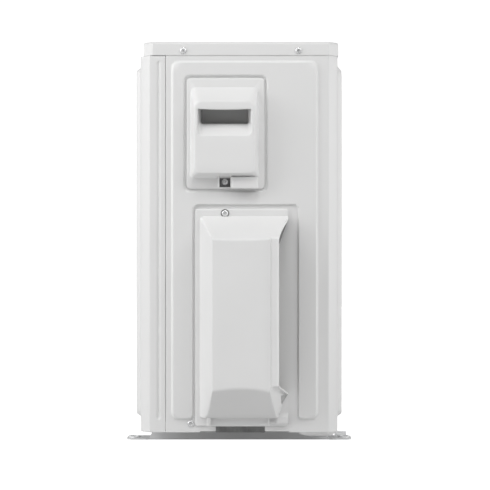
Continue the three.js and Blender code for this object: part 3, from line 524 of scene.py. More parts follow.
SLEEVE = moulded("capacitor_sleeve", (0.03, 0.035, 0.06), 0.35)
CAST = metal("motor_shell", (0.42, 0.43, 0.44), 0.45, dull=0.85)
ALUMINIUM = metal("aluminium", (0.80, 0.81, 0.83), 0.33, (1, 1, 0.05), 0.9)
COPPER = metal("copper", (0.80, 0.42, 0.27), 0.28, (1, 1, 0.2), 0.72)
BRASS = metal("brass", (0.78, 0.61, 0.30), 0.27)
RUBBER = rubbery("rubber", 0.035)
# Dark grey foam put where there is only shade: painted shade along the valve cover's edge and in the screw
# pocket.
SHADE_FOAM = rubbery("painted_shade_foam", 0.16)
# A dark grey rubber for the notch's apron: painted shade in the opening under the cabinet.
APRON_SHADE_RUBBER = rubbery("apron_painted_shade", 0.30)
# A near-black rubber for the washer round the valve cover's screw: a painted dark ring of shade.
SHADE_WASHER = rubbery("washer_painted_shade", 0.07)
# A darker grey for the grip's back plate: painted shade deep inside the grip.
GRIP_SHADE_GREY = moulded("grip_painted_shade", (0.36, 0.36, 0.358), 0.55)
BOARD = circuit("board")

# ---- Cabinet -----------------------------------------------------------------------------------------


def rounded_path(corners, radius=4.0, steps=5):
    """A path in plan through corner points, each inner corner turned on a radius, with the outside on its
    right. Each point comes with its outward normal and with the mitre that an inset moves it along past the
    radius."""
    corners = [Vector(c) for c in corners]
    out = []
    for i, c in enumerate(corners):
        if i in (0, len(corners) - 1):
            along = (corners[1] - c if i == 0 else c - corners[-2]).normalized()
            normal = Vector((along.y, -along.x))
            out.append((c, normal, normal))
            continue
        before = (c - corners[i - 1]).normalized()
        after = (corners[i + 1] - c).normalized()
        n0, n1 = Vector((before.y, -before.x)), Vector((after.y, -after.x))
        mitre = (n0 + n1).normalized() / math.cos(before.angle(after) / 2)
        for k in range(steps + 1):
            normal = n0.lerp(n1, k / steps).normalized()
            out.append((c - mitre * radius + normal * radius, normal, mitre))
    return out


def fill_path(path, stations):
    """Adds points to a path where its straight runs pass each station (axis index, value)."""
    out = [path[0]]
    for a, b in zip(path, path[1:]):
        cuts = []
        for axis, value in stations:
            span = b[0][axis] - a[0][axis]
            if abs(span) > 2 and 0.0005 < (value - a[0][axis]) / span < 0.9995:
                cuts.append((value - a[0][axis]) / span)
        out += [(a[0].lerp(b[0], t), a[1], a[1]) for t in sorted(cuts)]
        out.append(b)
    return out


def sheet(path, rows, relief, keep=None, radius=4.0):
    """A bent sheet. Each row is (height, inset), and relief(x, y, z, normal) pushes the rows without inset
    out."""
    grid = []
    for z, inset in rows:
        row = []
        for p, n, mitre in path:
            sharp = max(inset - radius + 0.2, 0)
            at = p - n * (inset - sharp) - mitre * sharp
            if not inset:
                at = p + n * relief(p.x, p.y, z, n)
            row.append((at.x, at.y, z))
        grid.append(row)
    return Shape().grid(grid, keep=keep)


def turned_in(path, depth=5.0):
    """Folds both ends of a path in behind it, with a small radius."""
    ends = []
    for here, beside in ((0, 1), (-1, -2)):
        p, n = path[here][:2]
        along = (path[beside][0] - p).normalized()
        ends.append([(p - n * back, -along, -along) for back in (depth, 0.8)])
        path = [(q + along * 0.8, m, k) if (q - p).length < 1e-6 else (q, m, k) for q, m, k in path]
    return ends[0] + path + ends[1][::-1]


def panel(name, shape, node, front, **more):
    """A painted sheet of the cabinet, which replaces its CAD node."""
    piece(name, shape, PAINT, "cabinet_paint", nodes=[node], wall=SHEET, front=front, **more)


BULGE = {"depth": 8.0, "bevel": 8.0, "low": 50.5, "high": 661.7, "radius": 14.0, "margin": 22.0}
GROOVE = {"front": -142.7, "rear": -134.1, "low": 49.3, "high": 668.7, "depth": 2.4}
FIELD = {"rect": (-117.5, 137.5, 48.9, 669.2), "radius": 16.0, "height": 4.5, "bevel": 5.0}
TERMINAL_POCKET = {"rect": (-91.9, 46.1, 445.5, 640.0), "radius": 8.0, "wall": 4.4}
VALVE_POCKET = {"rect": (-77.8, 100.8, -40.0, 418.8), "radius": 10.0, "wall": 3.2}
SEAM_Y = node_box("front_panel")[1][1]


def bulge(x, z, x0, x1):
    """The raised field on the front or rear face."""
    b = BULGE
    depth = inside(x, z, (x0, x1, b["low"], b["high"]), b["radius"])
    return b["depth"] * smooth(depth / b["bevel"])


def groove(y, z):
    """The long rounded groove in the front panel's side flange."""
    g = GROOVE
    half = (g["rear"] - g["front"]) / 2
    depth = inside(y, z, (g["front"], g["rear"], g["low"], g["high"]), half)
    return -g["depth"] * smooth(depth / half)


HEM = [(0.0, 4.6), (0.0, 1.0), (0.25, 0.35), (1.0, 0.0)]  # a turned-in lower edge: (height, inset)
FAN_AT = [sum(c) / 2 for c in zip(*node_box("fan_shroud"))]
FAN_AXIS = Vector((FAN_AT[0], 0, FAN_AT[2]))
FAN_OPENING = 243.0


def front_panel():
    c = CHAMFER
    corners = [
        (LEFT_X, SEAM_Y), (LEFT_X, FRONT_Y + c), (LEFT_X + c, FRONT_Y),
        (PANEL_X - c, FRONT_Y), (PANEL_X, FRONT_Y + c), (PANEL_X, SEAM_Y),
    ]
    left, right = LEFT_X + BULGE["margin"], PANEL_X - BULGE["margin"]
    xs = lines(LEFT_X + c + 4, PANEL_X - c - 4, [left + 4, right - 4], 1.3, 9, 11)
    ys = lines(FRONT_Y + c + 4, SEAM_Y - 1.4, [(GROOVE["front"] + GROOVE["rear"]) / 2], 0.55, 5.5, 4)
    path = turned_in(fill_path(rounded_path(corners), [(0, x) for x in xs] + [(1, y) for y in ys]))
    top = SKIRT - 0.6
    edges = [BULGE["low"] + 4, BULGE["high"] - 4, GROOVE["low"] + 4, GROOVE["high"] - 4]
    rows = [(PANEL_LOW + z, inset) for z, inset in HEM]
    rows += [(z, 0) for z in lines(PANEL_LOW + 3, top - 0.5, edges, 1.2, 8, 11)]
    rows += [(top - 0.1, 0.1), (top, 0.6), (top, 6.6), (LID_TOP - 8, 6.6)]

    def relief(x, y, z, n):
        front = bulge(x, z, left, right) * smooth((-n.y - 0.9) / 0.1)
        side = groove(y, z) * smooth((abs(n.x) - 0.9) / 0.1)
        return front + side

    def keep(p):
        return p.y > FRONT_Y + 3 or math.hypot(p.x - FAN_AT[0], p.z - FAN_AT[2]) > FAN_OPENING

    shape = sheet(path, rows, relief, keep)
    round_off(shape, FAN_AT, FAN_OPENING, FRONT_Y + 3)
    panel("front_panel_skin", shape, "front_panel", (0, -1, 0))


def round_off(shape, centre, radius, behind):
    """Moves the ragged edge of a hole in a flat face at y < behind onto a circle."""
    count = {}
    for face in shape.faces:
        for a, b in zip(face, face[1:] + face[:1]):
            key = (min(a, b), max(a, b))
            count[key] = count.get(key, 0) + 1
    for i in {i for edge, uses in count.items() if uses == 1 for i in edge}:
        p = shape.points[i]
        away = Vector((p.x - centre[0], p.z - centre[2]))
        if p.y < behind and away.length < radius + 30:
            away = away.normalized() * radius
            shape.points[i] = Vector((centre[0] + away.x, p.y, centre[2] + away.y))


def rounded_join(a, b, radius):
    """The distance inside two shapes at once, from the distance inside each, with their corners rounded."""
    if a >= radius or b >= radius:
        return min(a, b)
    return radius - math.hypot(radius - a, radius - b)


def service_relief(y, z):
    """The service side's raised field, and its two pockets."""
    f = FIELD
    depth = inside(y, z, f["rect"], f["radius"])
    for pocket in (TERMINAL_POCKET, VALVE_POCKET):
        out = -inside(y, z, pocket["rect"], pocket["radius"])
        depth = rounded_join(depth, out * f["bevel"] / pocket["wall"], 10)
    return f["height"] * smooth(depth / f["bevel"])


TERMINAL_WINDOW = (-74, 26, 463, 622)
VALVE_WINDOW = (-62, 62, 94, 388)
PIPE_NOTCH = (-39.8, 44.9, -9, 60)
STEP_UP = (-66.9, 86.5, -9, 31)


def side_panel():
    c = CHAMFER
    inner = node_box("side_panel")[0][0]
    corners = [(PANEL_X, SEAM_Y + 0.6), (PANEL_X, REAR_Y - c), (PANEL_X - c, REAR_Y), (inner, REAR_Y)]
    left, right = inner + BULGE["margin"], PANEL_X - BULGE["margin"]
    f, t, v = FIELD["rect"], TERMINAL_POCKET["rect"], VALVE_POCKET["rect"]
    windows = [TERMINAL_WINDOW, VALVE_WINDOW, PIPE_NOTCH]
    cuts = [y for w in windows for y in w[:2]]
    relief_ys = [f[0] + 2.5, t[0] - 2.2, v[0] - 1.6, t[1] + 2.2, v[1] + 1.6, f[1] - 2.5]
    ys = lines(SEAM_Y + 3, REAR_Y - c - 4, relief_ys + cuts, 0.7, 3.5, 9)
    xs = lines(inner + 3, PANEL_X - c - 4, [left + 4, right - 4], 1.3, 9, 11)
    path = turned_in(fill_path(rounded_path(corners), [(0, x) for x in xs] + [(1, y) for y in ys]))
    cuts = [z for w in windows for z in w[2:]]
    relief_zs = [f[2] + 2.5, v[3] + 1.6, t[2] - 2.2, t[3] + 2.2, f[3] - 2.5]
    rows = [(PANEL_LOW + z, inset) for z, inset in HEM]
    rows += [(z, 0) for z in lines(PANEL_LOW + 1.5, LID_TOP - 6, relief_zs + cuts, 0.7, 3.5, 9)]

    def relief(x, y, z, n):
        side = service_relief(y, z) * smooth((n.x - 0.9) / 0.1)
        rear = bulge(x, z, left, right) * smooth((n.y - 0.9) / 0.1)
        return side + rear

    def keep(p):
        inside_one = any(w[0] < p.y < w[1] and w[2] < p.z < w[3] for w in windows)
        return p.x < PANEL_X - 7 or not inside_one

    shape = sheet(path, rows, relief, keep)
    step = Shape().box(PANEL_X - 14, PANEL_X + 3, STEP_UP[0], STEP_UP[1], 0, STEP_UP[3])
    panel("side_panel_skin", shape, "side_panel", (1, 0, 0), cuts=[step])
    lips = Shape()
    for y0, y1 in ((STEP_UP[0] + 1, PIPE_NOTCH[0]), (PIPE_NOTCH[1], STEP_UP[1] - 1)):
        lips.tube([(PANEL_X - 0.7, y, STEP_UP[3] + 0.2) for y in (y0, y1)], 1.1, 12)
    piece("side_panel_lips", lips, PAINT, "cabinet_paint")


def cut_ring(node, chamfer, inset, z, count=26):
    """A node's outline in plan, `inset` inside it: a rectangle with cut corners, its points closer near
    them."""
    low, high = node_box(node)
    x0, x1, y0, y1 = low[0] + inset, high[0] - inset, low[1] + inset, high[1] - inset
    cut = max(chamfer - inset * (2 - math.sqrt(2)), 0.01)
    corners = [
        (x0, y0 + cut), (x0 + cut, y0), (x1 - cut, y0), (x1, y0 + cut),
        (x1, y1 - cut), (x1 - cut, y1), (x0 + cut, y1), (x0, y1 - cut),
    ]
    ring = []
    for i, a in enumerate(corners):
        b = corners[(i + 1) % 8]
        steps = 3 if i % 2 == 0 else count
        for k in range(steps):
            t = k / steps
            if steps == count:
                t = (1 - math.cos(math.pi * t)) / 2
            ring.append((mix(a[0], b[0], t), mix(a[1], b[1], t), z))
    return ring


def top_cover():
    def lid_ring(inset, z):
        return cut_ring("top_cover", CHAMFER + 0.7, inset, z)

    raised, edge = 2.5, 4.4
    flat = LID_TOP - raised
    low, high = node_box("top_cover")
    field = (low[0] + 34, high[0] - 34, low[1] + 30, high[1] - 30)
    rings = [lid_ring(2.0, SKIRT), lid_ring(0.6, SKIRT + 0.1), lid_ring(0, SKIRT + 0.7)]
    rings += [lid_ring(edge * (1 - math.cos(a)), flat - edge + edge * math.sin(a)) for a in quarter(8)]
    for inset in spread(edge, (24, 4), (48, 24), (70, 2))[1:]:
        ring = []
        for x, y, _ in lid_ring(inset, 0):
            ring.append((x, y, flat + raised * smooth(inside(x, y, field, 22) / 6)))
        rings.append(ring)
    shape = Shape().grid(rings, close=True, cap_end=True)
    panel("lid", shape, "top_cover", (0, 0, 1))


# ---- Covers on the service side ----------------------------------------------------------------------


def rounded_ring(rect, radius, h, sag=0.0):
    """A rectangle with round corners at height h over the service side's flat plane."""
    return [(PANEL_X + h, y, z) for y, z in round_outline(rect, radius, sag=sag)]


TERMINAL_BASE = (-82.9, 34.0, 466.0, 621.8)
TERMINAL_FACE = (-73.8, 24.0, 474.6, 594.0)
MOUTH = (-70.0, 21.4, 537.5, 582.6)


def terminal_cover():
    low, high = node_box("terminal_cover")
    flange = (low[1], high[1], low[2], high[2])
    proud = high[0] - PANEL_X
    base, face, mouth = TERMINAL_BASE, TERMINAL_FACE, MOUTH
    own = dict(material=PLASTIC, slot="cover_plastic", body="terminal_cover")

    rings = []
    for inset, r, h in ((0, 6.5, 0.6), (0, 6.5, 2.4), (0.5, 6.2, 3.4), (1.4, 5.4, 3.9), (3.2, 5.0, 4.0)):
        rings.append(rounded_ring(inset_rect(flange, inset), r, h))
    rings += [rounded_ring(inset_rect(base, -0.8), (6.5, 10), 4.0),
              rounded_ring(inset_rect(base, 0.1), (6, 9.5), 4.6)]
    # Each side of the body leans in by its own amount up to where it starts to round over.
    foot = 6.4
    rounding = (4.0, 9.0, 3.5, 5.0)
    for k in range(1, 14):
        t = k / 13
        h = mix(foot, proud, math.sin(t * math.pi / 2))
        rect = []
        for side, (start, end, r) in enumerate(zip(base, face, rounding)):
            sign = 1 if side % 2 == 0 else -1
            shoulder = end - sign * r * 0.62
            lean = min((h - foot) / (proud - r - foot), 1)
            over = max(h - (proud - r), 0) / r
            turned_over = 1 - math.sqrt(max(1 - over * over, 0))
            rect.append(mix(start, shoulder, lean) + (end - shoulder) * turned_over)
        rings.append(rounded_ring(rect, (mix(6, 8, t), mix(9.5, 13, t)), h))
    for t in (0.25, 0.5, 0.75):
        rect = blend_rect(face, inset_rect(mouth, -1.4), t)
        rings.append(rounded_ring(rect, (8.5, mix(13, 2.5, t)), proud, 1.2 * t))
    rings.append(rounded_ring(inset_rect(mouth, -1.4), (8.5, 2.5), proud, 1.2))
    for a in quarter(4)[1:]:
        rect = inset_rect(mouth, 1.4 * (math.sin(a) - 1))
        rings.append(rounded_ring(rect, (8, 2.2), proud - 1.6 * (1 - math.cos(a)), 1.2))
    # The tunnel: its floor ramps up as it goes in, and its roof opens upwards behind the lip.
    ramp_top, depth = 559.5, 43.0
    for k in range(1, 13):
        t = k / 12
        d = mix(1.6, depth, t)
        opening = smooth((d - 5) / 10)
        floor = mix(mouth[2], ramp_top, math.sin(min(d / 29, 1) * math.pi / 2) ** 1.15)
        rect = (mouth[0] + 0.12 * d, mouth[1] - 0.14 * d, floor, mouth[3] + 13.5 * opening)
        rings.append(rounded_ring(rect, (mix(8, 2.5, t), 2.2), proud - d, 1.2 * (1 - opening)))
    shape = Shape().grid(rings, close=True, cap_end=True)
    piece("terminal_cover_shell", shape, nodes=["terminal_cover"], wall=2.4, **own)

    # The back plate's darker grey is painted shade: it stands in for the shadow deep in the grip.
    back = high[0] - depth
    plate = Shape().rounded_box((back + 0.3, mouth[0] + 5.6, ramp_top + 0.6),
                                (back + 1.3, mouth[1] - 6.4, 595.0), "x", 2, 0.3)
    piece("grip_back_shade_plate", plate, GRIP_SHADE_GREY, "cover_plastic", "terminal_cover")
    # The cable duct: a rounded box that is open below, and the walls beside the screw.
    top = (-12.6, 33.0, 447.5, 468.0)
    profile = [(0, 3.5), (0, 20.2), (0.5, 21.5), (1.7, 22.0), (5, 22.0)]
    duct = Shape().grid([rounded_ring(inset_rect(top, by), 1.8, h) for by, h in profile], close=True,
                        cap_end=True)
    hollow = Shape().box(PANEL_X - 5, PANEL_X + 19.6, -10.2, 30.6, 430, 465.6)
    piece("cable_duct", duct, wall=2.2, cuts=[hollow], **own)
    rib = Shape()
    for out, y0, y1, z0, z1 in ((19.5, -35.8, -33.2, 449.8, 471), (19.5, -14.4, -12.2, 449.8, 471),
                                (11, -34, -13, 448.4, 450.4)):
        rib.box(PANEL_X + 3.6, PANEL_X + out, y0, y1, z0, z1)
    piece("screw_pocket", rib, bevel=0.5, **own)
    # A dark foam pad behind the screw is painted shade in the screw pocket.
    shade_pad = Shape().rounded_box((PANEL_X + 2.2, -33.4, 450.2), (PANEL_X + 4.4, -14.2, 470.0), "x", 1.5, 0.4)
    bore = Shape().turned([(2.8, PANEL_X), (2.8, PANEL_X + 6)], "x", node_middle("terminal_cover_screw"), 24)
    piece("terminal_screw_shade_pad", shade_pad, SHADE_FOAM, "rubber", "terminal_cover", cuts=[bore])


VALVE_BASE = (-67.0, 84.9, 53.4, 400.7)
VALVE_FACE = (-44.9, 52.9, 103.0, 361.8)
VALVE_FLANGE, VALVE_LEDGE, VALVE_PROUD = 3.0, 12.5, 66.0
VALVE_STEP = 7.0  # the raised corner below the opening
VALVE_BAR = 4.5  # the low bar beside the notch
VALVE_FLANGE_Z = tuple(corner[2] for corner in node_box("valve_cover"))


def valve_rim(z):
    """Where the valve cover ends towards the rear: close to the face beside the opening, and out at the
    flange above and below it."""
    edge, flange, r = 67.7, VALVE_BASE[1], 5.5
    z0, z1 = VALVE_FLANGE_Z
    top = max(0.0, min((z - 359) / 36, 1)) ** 1.5
    bottom = max(0.0, min((113 - z) / 19, 1)) ** 1.25
    corner = max(z - (z1 - r), (z0 + r) - z, 0.0)
    return mix(edge, flange, max(top, bottom)) - r + math.sqrt(max(r * r - corner * corner, 0))


def smooth_min(values, reach):
    """The least of some values, with the corners between them rounded over about `reach`."""
    least = min(values)
    total = sum(math.exp(-(v - least) / reach) for v in values)
    return least - reach * math.log(total)


def valve_step(y, z):
    """The raised corner below the opening and the low bar beside the notch, whose lower edges slope
    back."""
    z0 = VALVE_FLANGE_Z[0]
    corner = VALVE_STEP * smooth((62.5 - z) / 8.5) * smooth((y - 60) / 8)
    bar = VALVE_BAR * smooth((z0 + 9.0 - z) / 2.5) * smooth((y - PIPE_NOTCH[1] - 1.0) / 1.5)
    return max(corner, bar) * min(max((z - z0) / 6.5, 0.0), 1.0)


def valve_height(y, z):
    """How far the valve cover stands out from the panel's plane."""
    flange, ledge, proud = VALVE_FLANGE, VALVE_LEDGE, VALVE_PROUD
    left, _, low, top = VALVE_BASE
    face_left, face_right, face_low, face_top = VALVE_FACE
    if inside(y, z, (left, 300, low, top), 6.5) <= 0:
        return flange + valve_step(y, z)
    crown = max(0.0, 1 - ((y - 4) / 49) ** 2)
    above = flange + (top - z) / (top - face_top + 2.2 * crown) * (proud - flange)
    below = ledge + (z - low) / (face_low - low + 5.6 * crown) * (proud - ledge)
    # The front slope narrows towards the bottom, where its hip runs in from the corner.
    t = min((z - low) / (face_low - low), 1)
    hip = mix(ledge, proud, t)
    width = mix(12.0, face_left - left, t)
    front = flange + inside(y, z, (left, 300, low - 9, top), 9) * (hip - flange) / width
    rim = valve_rim(z)
    if z > 113:
        # A strip beside the face stands back from it and rises again to its rolled edge.
        rise = max((y - face_right - 1) / (rim - face_right - 1), 0)
        clear = 4.0
        rear = proud + clear - (clear + 2.6) * smooth((y - face_right + 2.6) / 4.0)
        rear += 1.5 * rise + 1.1 * smooth((rise - 0.8) / 0.2)
    else:
        # Below the opening the rear edge runs out to the flange, over a valley beside the lower slope.
        hip_y = mix(65.0, face_right, t)
        at_rim = mix(5.0, 62.0, max((z - 94) / 19, 0))
        straight = mix(hip, at_rim, (y - hip_y) / (rim - hip_y))
        steep = hip - (y - hip_y) * mix(3.2, 2.3, smooth((z - low) / 20))
        valley = max(steep, at_rim - (rim - y) * 2.0) if z > 94 else steep
        rear = mix(straight, valley, smooth((112 - z) / 14))
    body = smooth_min([proud, front, above, below, rear], 1.2)
    return max(flange + valve_step(y, z), body)


def valve_cover():
    low, high = node_box("valve_cover")
    y0, z0, z1 = low[1], low[2], high[2]
    left, _, bottom, top = VALVE_BASE
    face_right = VALVE_FACE[1]
    corner, rolled = 5.5, 3.0
    own = dict(material=PLASTIC, slot="cover_plastic", body="valve_cover")
    ys = spread(y0, (y0 + rolled, 4), (left - 1, 3), (left + 1, 3), (VALVE_FACE[0] + 3, 18), (face_right, 13))
    shares = spread(0.0, (1.0, 22))
    rows = []
    for z in spread(z0, (z0 + 3, 4), (bottom - 0.2, 5), (bottom + 0.4, 1), (116, 44), (346, 22),
                    (top + 1.5, 38), (z1 - 3, 4), (z1, 4)):
        rim = valve_rim(z)
        end = max(z0 + corner - z, z - z1 + corner, 0)
        pull = corner - math.sqrt(max(corner * corner - end * end, 0))
        row = []
        for y in ys + [mix(face_right, rim, s) for s in shares[1:]]:
            edge = min(y - y0, z - z0, z1 - z, rolled)
            h = valve_height(y, z) - 1.6 * (1 - edge / rolled) ** 2
            row.append((PANEL_X + h, mix(y0 + pull, rim, (y - y0) / (rim - y0)), z))
        rows.append(row)
    shape = Shape().grid(rows)
    gap = [(72.2, 92.6), (83.6, 93.6), (74.0, 77.2), (72.4, 80)]
    hole = Shape().loft([[(x, y, z) for y, z in gap] for x in (PANEL_X - 9, PANEL_X + 70)])
    piece("valve_cover_shell", shape, nodes=["valve_cover"], wall=2.4, cuts=[hole], **own)

    # A dark foam seal closes the opening's upper corner to the panel: its dark grey is painted shade along
    # the edge.
    rows = []
    for z in spread(353.0, (395.5, 26)):
        rim = valve_rim(z)
        base = max(mix(69.6, 85.2, (z - 352) / 44), rim)
        tall = min(valve_height(rim - back, z) for back in (0.3, 2.2)) - 0.8
        rows.append([(PANEL_X + mix(tall, 1.0, t), mix(rim - 0.4, base, t), z)
                     for t in spread(0.0, (1.0, 8))])
    piece("valve_cover_shade_seal", Shape().grid(rows), SHADE_FOAM, "rubber", "valve_cover", wall=1.6, front=(0, 1, -0.5))
    # The small gap under the lip has walls.
    outline = []
    for (ya, za), (yb, zb) in zip(gap, gap[1:] + gap[:1]):
        outline += [(mix(ya, yb, t), mix(za, zb, t)) for t in spread(0.0, (0.84, 6))]
    tops = [(PANEL_X + max(valve_height(y, z) - 1.5, 2.0), y, z) for y, z in outline]
    walls = Shape().grid([tops, [(PANEL_X + 0.6, y, z) for _, y, z in tops]], close=True, cap_end=True)
    piece("valve_cover_gap", walls, wall=0.8, **own)
    ribs = Shape()
    for y0, y1 in ((-54.8, -47.9), (50.2, 52.2)):
        ribs.box(PANEL_X + 2.5, PANEL_X + 12.5, y0, y1, 40.5, 56)
    piece("valve_cover_ribs", ribs, bevel=0.6, **own)
    tongues = Shape()
    for z in (112, 350):
        tongues.box(PANEL_X + 0.5, PANEL_X + 3, -66, -58.5, z, z + 18)
        tongues.box(PANEL_X - 7, PANEL_X + 3, -60.5, -58.5, z, z + 18)
    piece("valve_cover_tongues", tongues, bevel=0.4, **own)
    # A dark rubber washer lies round the screw's head: a painted ring of shade round it.
    profile = rise(PANEL_X + VALVE_FLANGE, (5.2, 0.1), (7.0, 0.1), (7.2, 0.35), (6.9, 0.6), (5.2, 0.6))
    washer = Shape().ring(profile, "x", node_middle("valve_cover_screw"))
    piece("valve_cover_shade_washer", washer, SHADE_WASHER, "rubber", "valve_cover")


# ---- Screws ------------------------------------------------------------------------------------------


def cross_depth(u, v):
    """The depth of a cross recess at a point on a screw's head."""
    arm = max(inside(u, v, (-2.6, 2.6, -0.55, 0.55), 0.3), inside(u, v, (-0.55, 0.55, -2.6, 2.6), 0.3))
    core = inside(u, v, (-1.0, 1.0, -1.0, 1.0), 0.9)
    return 1.5 * smooth(max(arm, core) / 0.35 + 0.3)


def pan_head(seat, y, z, head, tall=2.5, segments=64):
    """A domed screw head with a cross recess, facing +X."""
    scale = head / 5
    turn = around(segments)
    rows = []
    for r in spread(0.0, (3.0 * scale, 14), (head, 10)):
        dome = tall * math.sqrt(max(1 - (r / (head * 1.02)) ** 2.6, 0)) + 0.35
        row = []
        for a in turn:
            u, v = r * math.cos(a), r * math.sin(a)
            row.append((seat + dome - cross_depth(u / scale, v / scale) * scale, y + u, z + v))
        rows.append(row)
    rows.append([(seat, y + head * math.cos(a), z + head * math.sin(a)) for a in turn])
    return Shape().grid(rows, close=True, cap_end=True)


def screw(node, body, head):
    """A screw whose head has the radius `head`, in place of its CAD node."""
    low, high = node_box(node)
    at = node_middle(node)
    tip, seat = low[0], high[0] - 3.0
    shape = pan_head(seat, at[1], at[2], head)
    shape.turned(threaded(tip + 1.5, seat - 0.4, 2.2, 1.1, 0.5) + [(0, seat - 0.4)], "x", at, 20)
    shape.turned(rise(tip, (0, 0), (0.8, 0.5), (1.7, 1.5), (0, 1.5)), "x", at, 20)
    piece(node + "_head", shape, ZINC, "screw_steel", body, [node], crease=40)


# ---- Base --------------------------------------------------------------------------------------------

TRAY_LOW = 24.0  # the underside of the pan's floor
LEDGE = {"edge": PANEL_X - 45.7, "front": FRONT_Y + 17.7, "rear": 104.0, "low": 31.6}
PAN_NOTCH = (-41.0, 46.0)
CHANNEL = {"rect": (LEFT_X + 8, PANEL_X - 8, 108.0, 165.0), "low": 21.0}
DRAINS = (-380, -60, 150)
DRAIN_Y = 135.0


def pan_low(x, y):
    """The underside of the pan's floor, which steps up along the front and the service side."""
    side = smooth((x - LEDGE["edge"] + 1.5) / 3) * smooth((LEDGE["rear"] + 2 - y) / 4)
    front = smooth((LEDGE["front"] + 1.5 - y) / 3)
    return mix(TRAY_LOW, LEDGE["low"], max(side, front))


def base_pan():
    def pan_ring(inset, z=0):
        return cut_ring("base_pan", CHAMFER, inset, z, 44)

    rings = [pan_ring(inset, z) for inset, z in ((1.3, 45.2), (0.5, 46.0), (0.0, 45.2), (0.0, 39.0))]
    radius = 4.0
    under = [(radius * (1 - math.cos(a)), radius * (1 - math.sin(a))) for a in quarter(6)]
    under += [(inset, 0) for inset in spread(radius, (14, 2), (18.5, 6), (41, 3), (47, 8))[1:]]
    for inset, rise_by in under:
        rings.append([(x, y, pan_low(x, y) + rise_by) for x, y, _ in pan_ring(inset)])
    tray = Shape().grid(rings, close=True, cap_end=True)
    x0, x1, y0, y1 = CHANNEL["rect"]
    edge = LEDGE["edge"] - 1.8
    hollow = Shape().box(x0 + 5, x1 - 5, y0 + 5, y1 - 5, TRAY_LOW - 3, TRAY_LOW + 6)
    notch = Shape().box(edge, PANEL_X + 3, *PAN_NOTCH, 15, 60)
    down = dict(material=PAINT, slot="cabinet_paint", wall=1.5, front=(0, 0, -1))
    piece("base_tray", tray, nodes=["base_pan"], cuts=[hollow, notch], **down)

    rings = []
    for by, z in ((-1.5, 25.4), (-1.5, 24.4), (-0.4, 23.9), (0, 23.3), (0.5, 22.3), (1.6, 21.5),
                  (3.2, 21.05), (5, 21)):
        outline = round_outline(inset_rect(CHANNEL["rect"], by), 16 - by * 0.6, side=30)
        rings.append([(x, y, z) for x, y in outline])
    channel = Shape().grid(rings, close=True, cap_end=True)
    holes = [Shape().turned([(9, 10), (9, 30)], "z", (x, DRAIN_Y, 0)) for x in DRAINS]
    piece("drain_channel", channel, cuts=holes, **down)
    # A rubber apron is clipped over the notch's inner edge and hides its cut; its dark grey is painted shade.
    y0, y1 = PAN_NOTCH[0] - 1.0, PAN_NOTCH[1] + 1.0
    shade_apron = Shape().rounded_box((edge - 0.2, y0, TRAY_LOW - 1.3), (edge + 2.2, y1, 46.0), "x", 3, 0.6)
    for y in spread(y0 + 7, (y1 - 7, 6)):
        shade_apron.rounded_box((edge + 2.0, y - 1.2, TRAY_LOW), (edge + 3.0, y + 1.2, 44.0), "x", 1.1, 0.4)
    piece("notch_shade_apron", shade_apron, APRON_SHADE_RUBBER, "rubber")
    bosses = Shape()
    low = node_box("base_pan")[0][2]
    profile = [(9, 22.4), (9, low), (13.2, low), (14, low + 0.7), (14, 20.6), (15, 21.2), (15, 22.4)]
    for x in DRAINS:
        bosses.ring(profile, "z", (x, DRAIN_Y, 0))
    piece("drain_bosses", bosses, PAINT, "cabinet_paint")


FOOT = {"corner": 10.0, "sheet": 2.0, "rise_from": 166.0, "rise_to": 149.0, "slots": 190.0,
        "slot": (22.0, 12.0)}


def foot(node):
    """A pressed channel: flat round ends with anchor slots, and walls in between that rise to the pan."""
    low, high = node_box(node)
    x0, x1, end, corner = low[0], high[0], high[1], FOOT["corner"]
    middle = (x0 + x1) / 2

    def wall_top(y):
        tall = (CHANNEL["low"] if y > CHANNEL["rect"][2] - 1.5 else TRAY_LOW) - 0.4
        return tall * smooth((FOOT["rise_from"] - abs(y)) / (FOOT["rise_from"] - FOOT["rise_to"]))

    def slot_ring(sign, grow, radius, z, side):
        """The anchor slot's outline, grown by a margin."""
        (long, wide), y = FOOT["slot"], sign * FOOT["slots"]
        rect = inset_rect((middle - long / 2, middle + long / 2, y - wide / 2, y + wide / 2), -grow)
        return [(x, y, z) for x, y in round_outline(rect, radius, side)]

    half_ys = spread(0.0, (90, 9), (105, 4), (108, 4), (146, 6), (169, 18), (end - corner, 5), (end, 9))
    rows = []
    for y in [-v for v in half_ys[:0:-1]] + half_ys:
        over = max(abs(y) - (end - corner), 0)
        half = (x1 - x0) / 2 - corner + math.sqrt(max(corner * corner - over * over, 0))
        top = wall_top(y)
        bend = min(2.5, top)
        section = [(0, mix(top, bend, t)) for t in (0, 0.02, 0.3, 0.6, 0.9)]
        section += [(bend * (1 - math.cos(a)), bend * (1 - math.sin(a))) for a in quarter(5)]
        section += [(mix(bend, half, t), 0) for t in (0.15, 0.4, 0.7)]
        rows.append([(middle - half + u, y, z) for u, z in section] + [(middle, y, 0)]
                    + [(middle + half - u, y, z) for u, z in section[::-1]])
    cuts = [Shape().loft([slot_ring(sign, 0, 5.9, z, 2) for z in (-3, 5)]) for sign in (-1, 1)]
    piece(node + "_channel", Shape().grid(rows), FOOT_PAINT, "galvanised", nodes=[node], wall=FOOT["sheet"],
          front=(0, 0, -1), cuts=cuts)
    bead = ((4.6, 1.7), (4.4, 2.6), (3.2, 4.2), (2.0, 4.6), (0.9, 4.2), (0.3, 3.2), (0.3, 1.7), (4.6, 1.7))
    extras = Shape()
    for sign in (-1, 1):
        extras.grid([slot_ring(sign, grow, 6 + grow, z, 6) for grow, z in bead], close=True)
    flange = [(x0 + 7, 1.5), (x0 + 1.4, 9.2), (x0 + 0.5, 9.5), (x0, 9.0), (x0, 1.5)]
    extras.loft([[(x, y, z) for x, z in flange] for y in (175, 196)])
    piece(node + "_beads", extras, FOOT_PAINT, "galvanised")


